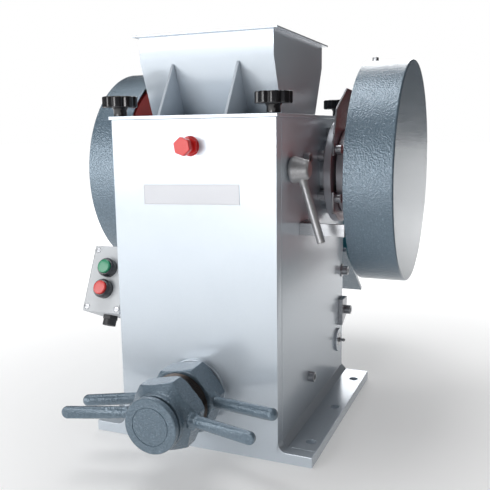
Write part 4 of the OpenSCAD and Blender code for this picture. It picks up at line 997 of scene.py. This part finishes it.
@dataclass
class ScrewGear:
    """The adjusting screw with its two nuts, their arms and the welds at the arms' roots."""

    pitch: float = 0.004
    skin: float = 0.001
    inset: float = 0.0045
    disc_radius: float = 0.0375
    crest: float = 0.0314
    root: float = 0.0303
    shank: float = 0.032
    ring_pitch: float = 0.003
    ring_depth: float = 0.0018
    arm_lean: float = 16.3
    nut_radius: float = 0.036
    arm_tilt: dict[str, float] = field(default_factory=lambda: {"front_nut": 1.7, "lock_nut": 4.5})
    arm_y: dict[str, float] = field(default_factory=lambda: {"front_nut": -0.277, "lock_nut": -0.2157})

    def build(self) -> None:
        """Makes the nuts, the screw and the welds."""
        for node in ("front_nut", "lock_nut"):
            self.nut(node)
        self.disc()
        self.screw()

    def nut(self, node: str) -> None:
        """Makes a nut with its two arms and their welds as one thickly painted piece.

        Args:
            node: CAD node of the nut.
        """
        low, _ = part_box(node)
        blank = Blank().copy_of(node)
        if node == "front_nut":
            blank.shift(lambda co: Vector((co.x, max(co.y, low.y + self.inset), co.z)))
        self.welds(node, blank)
        piece = blank.piece(f"{node}_shown", PAINT.slot("hammer_paint"), weighted=False)
        one_skin(piece, self.skin, 4)
        fit(piece, body_of_node(node), "hammer_paint", node)

    def disc(self) -> None:
        """Makes the front nut's end disc with its turned groove."""
        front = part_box("front_nut")[0].y
        low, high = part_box("adjusting_screw")
        r = self.disc_radius
        section = [(front + 0.0085, 0.0), (front + 0.0085, r - 0.0015), (front + 0.0078, r),
                   (front + 0.0012, r), (front, r - 0.0012), (front, 0.0262), (front + 0.0008, 0.0258),
                   (front + 0.0008, 0.0252), (front, 0.0248), (front, 0.0)]
        centre = Vector((0, 0, (low.z + high.z) / 2))
        blank = Blank().turned(section, Axis.Y, centre, 128, closed=False)
        piece = blank.piece("front_nut_disc", PAINT.slot("hammer_paint"), crease=30.0)
        fit(piece, "adjusting_screw", "hammer_paint", "front_nut")

    def screw(self) -> None:
        """Makes the screw, with a thread on its collar and shank."""
        low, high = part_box("adjusting_screw")
        mid = (low + high) / 2
        axis = Vector((mid.x, 0, mid.z))
        big = (high.x - low.x) / 2
        collar = (low.y + 0.04, low.y + 0.058)
        dip = big - self.ring_depth
        section = [(high.y, 0.0), (high.y, 0.03), (high.y - 0.002, self.crest)]
        y = high.y - self.pitch
        while y > collar[1] + self.pitch:
            section += [(y, self.crest), (y - 0.0015, self.root), (y - 0.0025, self.root)]
            y -= self.pitch
        section += [(collar[1], self.crest), (collar[1], dip)]
        y = collar[1]
        while y > collar[0] + 0.001:
            section += [(y - 0.0008, big), (y - 0.0016, big), (y - 0.0024, dip), (y - self.ring_pitch, dip)]
            y -= self.ring_pitch
        section += [(collar[0], self.shank), (low.y, self.shank), (low.y, 0.0)]
        fit_node(Blank().turned(section, Axis.Y, axis, 96, closed=False), "adjusting_screw", crease=28.0)

    def welds(self, node: str, blank: Blank) -> None:
        """Adds the weld beads round the roots of a nut's two arms.

        Args:
            node: CAD node of the nut.
            blank: Blank that takes the beads.
        """
        low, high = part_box("adjusting_screw")
        mid = (low + high) / 2
        lean = math.radians(self.arm_lean)
        for s in (1, -1):
            reach = 0.0482 if s > 0 else 0.0478
            root = Vector((reach, -(reach - self.nut_radius) * math.tan(lean), 0))
            root.x *= s
            way = Vector((s * math.cos(lean), -math.sin(lean), 0))
            turned = way.to_track_quat("Z", "Y").to_matrix().to_4x4()
            nut = at(0, self.arm_y[node], mid.z) @ turn(-self.arm_tilt[node], "Y")
            ring = Blank().turned([(-0.0035, 0.0075), (-0.0035, 0.0125), (-0.0012, 0.0128), (0.0016, 0.0108),
                                   (0.0034, 0.0086), (0.0034, 0.0075)], Axis.Z, Vector(), 72)
            ring.soften(0.0007, angle=20.0).shift(self.ripple)
            blank.absorb(ring.moved(nut @ Matrix.Translation(root) @ turned))

    @staticmethod
    def ripple(co: Vector) -> Vector:
        """Swells and dips a bead, as a hand-run weld does.

        Args:
            co: A point of the bead, about its own middle.

        Returns:
            The point's new place.
        """
        out = Vector((co.x, co.y, 0))
        angle = math.atan2(co.y, co.x)
        swell = 1.0 + 0.07 * math.sin(11 * angle) + 0.13 * noise.noise(co * 210.0)
        return Vector((out.x * swell, out.y * swell, co.z * (1.0 + 0.2 * noise.noise(co * 160.0))))


@dataclass
class PushButtons:
    """The rings and caps of the two push buttons."""

    tilt: float = -25.0
    ring_height: float = 0.014
    face_y: float = -0.134
    face_z: float = 0.233
    offset: float = 0.017
    grips: int = 18

    def build(self) -> None:
        """Makes both rings and both caps."""
        rings = Blank()
        for node in ("start_button", "stop_button"):
            place = self.place(node)
            part = Blank().turned([(0.0, 0.0113), (0.0, 0.0148), (-0.0105, 0.0148), (-0.0125, 0.0138),
                                   (-self.ring_height, 0.0124), (-self.ring_height, 0.0113)],
                                  Axis.Y, Vector(), 72)
            rings.absorb(part.shift(self.knurl).moved(place))
            cap = [(0.012, 0.0), (0.012, 0.005), (-0.009, 0.005), (-0.0095, 0.0108), (-0.0165, 0.0108),
                   (-0.0177, 0.0096), (-0.018, 0.006), (-0.018, 0.0)]
            button = Blank().turned(cap, Axis.Y, Vector(), 64, closed=False).soften(0.0003, angle=25.0)
            fit_node(button.moved(place), node, crease=40.0)
        fit_node(rings, "button_rings", crease=28.0, weighted=False)

    def place(self, node: str) -> Matrix:
        """Returns the place of a button: its middle on the box's face, turned with the face.

        Args:
            node: CAD node of the button.

        Returns:
            The place.
        """
        low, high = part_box("control_box_lid")
        rings_low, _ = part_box("button_rings")
        face = Vector(((low.x + high.x) / 2, self.face_y, self.face_z))
        up = turn(self.tilt, "X").to_3x3() @ Vector((0, 0, 1))
        side = 1 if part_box(node)[0].z > rings_low.z + 0.02 else -1
        return Matrix.Translation(face + up * self.offset * side) @ turn(self.tilt, "X")

    def knurl(self, co: Vector) -> Vector:
        """Cuts shallow grips into a ring's rim.

        Args:
            co: A point of the ring, about its own middle.

        Returns:
            The point's new place.
        """
        out = Vector((co.x, 0, co.z))
        if out.length > 0.0142:
            out *= 1.0 - 0.012 * max(0.0, math.cos(self.grips * math.atan2(co.z, co.x)))
        return Vector((out.x, co.y, out.z))


@dataclass
class SmallParts:
    """The breather plug, the blank name plate and the tension spring."""

    plate_size: Sequence[float] = (0.147, 0.0007, 0.028)
    plate_tilt: float = -1.2
    rivet_x: float = 0.0695
    wire: float = 0.0022
    coils: float = 6.5

    def build(self) -> None:
        """Makes each small piece."""
        self.plug()
        self.plate()
        self.spring()

    def plug(self) -> None:
        """Makes the red breather plug with its two hexagons."""
        low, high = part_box("breather_plug")
        x, z = (low.x + high.x) / 2, (low.z + high.z) / 2
        lie = turn(90, "X")
        blank = Blank()
        blank.prism(6, 0.0139, 0.006, at(x, low.y + 0.0228, z) @ lie)
        blank.prism(6, 0.013, 0.009, at(x, low.y + 0.0045, z) @ lie @ turn(10, "Z"))
        blank.soften(0.0011, segments=3)
        neck = [(low.y + 0.008, 0.0), (low.y + 0.008, 0.0082), (low.y + 0.0095, 0.0076)]
        y = low.y + 0.0105
        while y < low.y + 0.0185:
            neck += [(y, 0.0068), (y + 0.0006, 0.0076)]
            y += 0.0012
        neck += [(low.y + 0.0195, 0.008), (low.y + 0.0195, 0.0)]
        blank.turned(neck, Axis.Y, Vector((x, 0, z)), 48, closed=False)
        seat = [(low.y + 0.0255, 0.0), (low.y + 0.0255, 0.0138), (low.y + 0.026, 0.014),
                (low.y + 0.028, 0.014), (low.y + 0.028, 0.006), (high.y, 0.006), (high.y, 0.0)]
        blank.turned(seat, Axis.Y, Vector((x, 0, z)), 48, closed=False)
        fit_node(blank, "breather_plug", crease=32.0)

    def plate(self) -> None:
        """Makes the blank plate with a stamped border and a rivet at each end."""
        low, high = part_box("name_plate")
        mid = (low + high) / 2
        place = at(mid.x, mid.y, mid.z) @ turn(self.plate_tilt, "Y")
        blank = Blank().cuboid(self.plate_size, place)
        front = min(blank.bm.faces, key=lambda f: f.calc_center_median().y)
        bmesh.ops.inset_region(blank.bm, faces=[front], thickness=0.0016, depth=0.0)
        bmesh.ops.inset_region(blank.bm, faces=[front], thickness=0.0002, depth=-0.00015)
        for s in (-1, 1):
            blank.ball(0.0016, place @ at(s * self.rivet_x, 0.0009, 0) @ Matrix.Diagonal((1, 0.75, 1, 1)), 16)
        fit_node(blank, "name_plate")

    def spring(self) -> None:
        """Makes the tension spring as a real coil with closed ends."""
        low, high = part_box("tension_spring")
        mid = (low + high) / 2
        wire = self.wire
        radius = (high.x - low.x) / 2 - wire
        start = Vector((mid.x, low.y + wire, mid.z))
        blank = Blank().coil(wire, radius, start, Vector((0, 1, 0)), high.y - low.y - 2 * wire, self.coils)
        fit_node(blank, "tension_spring", weighted=False)


@dataclass
class Studio:
    """The pale floor, the soft lights and the camera."""

    eye: Sequence[float] = (0.4204, -1.0061, 0.4615)
    yaw: float = 22.436
    pitch: float = 9.734
    roll: float = -0.776
    lens: float = 49.2
    floor_z: float = -0.0005
    sky: Color = (0.9, 0.94, 1.0)
    sky_strength: float = 0.12

    def build(self) -> None:
        """Sets up the whole studio."""
        self.camera()
        self.floor()
        self.lights()

    def camera(self) -> None:
        """Places the camera."""
        data = bpy.data.cameras.new("camera")
        data.lens = self.lens
        data.sensor_width = 36.0
        made = bpy.data.objects.new("camera", data)
        bpy.context.scene.collection.objects.link(made)
        made.matrix_world = (Matrix.Translation(self.eye) @ turn(self.yaw, "Z")
                             @ turn(90.0 - self.pitch, "X") @ turn(self.roll, "Z"))
        bpy.context.scene.camera = made

    def floor(self) -> None:
        """Lays the pale floor and sets three dark cards beside the machine."""
        blank = Blank()
        bmesh.ops.create_grid(blank.bm, x_segments=2, y_segments=2, size=20.0,
                              matrix=at(0.0, 0.0, self.floor_z))
        blank.piece("floor", self.sweep(), weighted=False)
        self.card("front_edge", (0.0, -0.49, 0.002), (0.0, -0.49, 1.0), (3.0, 0.12), (0.02, 0.014, 0.012))
        self.card("right_floor", (1.2, 0.0, 0.003), (1.2, 0.0, 1.0), (1.5, 3.0), (0.05, 0.04, 0.035))
        self.card("right_wall", (1.0, 0.0, 0.75), (0.0, 0.0, 0.5), (2.6, 1.5), (0.035, 0.027, 0.023))

    def card(self, name: str, place: Sequence[float], target: Sequence[float], size: Point,
             color: Color) -> None:
        """Stands a dark card that the camera doesn't see, to darken what the gloss shows.

        Args:
            name: Card's name.
            place: Its middle.
            target: Point that it faces.
            size: Its width and height.
            color: Its colour, linear.
        """
        way = (Vector(target) - Vector(place)).to_track_quat("Z", "Y").to_matrix().to_4x4()
        blank = Blank()
        grown = Matrix.Diagonal((size[0] / 2, size[1] / 2, 1.0, 1.0))
        bmesh.ops.create_grid(blank.bm, x_segments=1, y_segments=1, size=1.0,
                              matrix=Matrix.Translation(place) @ way @ grown)
        made = blank.piece(name, self.plain(f"{name}_card", color, 0.9), weighted=False)
        made.visible_camera = False
        made.visible_shadow = False
        made.visible_diffuse = place[2] > 0.1

    def lights(self) -> None:
        """Hangs large soft lights and sets the surroundings, white to the eye and dim to the object."""
        self.lamp("key", (-1.45, -2.35, 1.05), (0, 0, 0.3), 1.7, 37.0)
        self.lamp("top", (-0.5, 0.0, 2.6), (0, 0, 0.2), 1.2, 26.0)
        self.lamp("right", (2.5, 0.1, 1.9), (0.1, 0, 0.4), 0.6, 3.0)
        self.lamp("front", (-0.5, -2.6, 0.45), (0, 0, 0.3), 0.5, 8.0)
        self.lamp("rear", (-0.6, 2.4, 1.5), (0, 0.2, 0.3), 1.5, 30.0)
        bpy.context.scene.view_settings.view_transform = "Standard"
        world = bpy.data.worlds.new("surroundings")
        bpy.context.scene.world = world
        world.use_nodes = True
        tree = world.node_tree
        dim = next(n for n in tree.nodes if n.type == "BACKGROUND")
        out = next(n for n in tree.nodes if n.type == "OUTPUT_WORLD")
        dim.inputs["Color"].default_value = (*self.sky, 1.0)
        dim.inputs["Strength"].default_value = self.sky_strength
        white = tree.nodes.new("ShaderNodeBackground")
        white.inputs["Color"].default_value = (1.0, 1.0, 1.0, 1.0)
        white.inputs["Strength"].default_value = 1.0
        ray = tree.nodes.new("ShaderNodeLightPath")
        mix = tree.nodes.new("ShaderNodeMixShader")
        tree.links.new(ray.outputs["Is Camera Ray"], mix.inputs[0])
        tree.links.new(dim.outputs[0], mix.inputs[1])
        tree.links.new(white.outputs[0], mix.inputs[2])
        tree.links.new(mix.outputs[0], out.inputs["Surface"])

    @staticmethod
    def lamp(name: str, place: Sequence[float], target: Sequence[float], size: float,
             power: float) -> None:
        """Hangs one square area light that faces a target.

        Args:
            name: Lamp's name.
            place: Where it hangs.
            target: Point that it faces.
            size: Length of its side.
            power: Its power in watts.
        """
        data = bpy.data.lights.new(name, "AREA")
        data.shape = "SQUARE"
        data.size = size
        data.energy = power
        made = bpy.data.objects.new(name, data)
        bpy.context.scene.collection.objects.link(made)
        made.location = place
        made.rotation_euler = (Vector(target) - Vector(place)).to_track_quat("-Z", "Y").to_euler()

    def sweep(self) -> bpy.types.Material:
        """Makes the floor's pale material, which brightens away from the machine like a lit sweep.

        Returns:
            The material.
        """
        material = self.plain("floor_white", (0.62, 0.62, 0.62), 0.8, 0.3)
        sheet = NodeSheet(material.node_tree)
        place = sheet.add("ShaderNodeTexCoord").outputs["Object"]
        far = sheet.add("ShaderNodeVectorMath")
        far.operation = "LENGTH"
        sheet.join(place, far.inputs[0])
        glow = sheet.remap(far.outputs["Value"], 0.3, 1.5, 0.3, 1.0)
        sheet.join(glow, sheet.shader.inputs["Emission Strength"])
        return material

    @staticmethod
    def plain(name: str, color: Color, rough: float, glow: float = 0.0) -> bpy.types.Material:
        """Makes a plain material for the studio.

        Args:
            name: Material's name.
            color: Its colour, linear.
            rough: Its roughness.
            glow: Strength of the white light that it gives off.

        Returns:
            The material.
        """
        material = bpy.data.materials.new(name)
        material.use_nodes = True
        shader = next(n for n in material.node_tree.nodes if n.type == "BSDF_PRINCIPLED")
        shader.inputs["Base Color"].default_value = (*color, 1.0)
        shader.inputs["Roughness"].default_value = rough
        shader.inputs["Emission Color"].default_value = (1.0, 1.0, 1.0, 1.0)
        shader.inputs["Emission Strength"].default_value = glow
        return material


def main() -> None:
    """Builds every assembly in order."""
    logging.basicConfig(level=logging.INFO, format="%(name)s %(message)s")
    FRAME.update(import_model())
    Studio().build()
    PlateWork().build()
    FlywheelSide().build()
    BeltSide().build()
    for side in ("front_right", "front_left", "rear_right", "rear_left"):
        StarKnob().build(f"knob_{side}")
    ClampLever().build()
    ScrewGear().build()
    PushButtons().build()
    SmallParts().build()


if __name__ == "__main__":
    main()
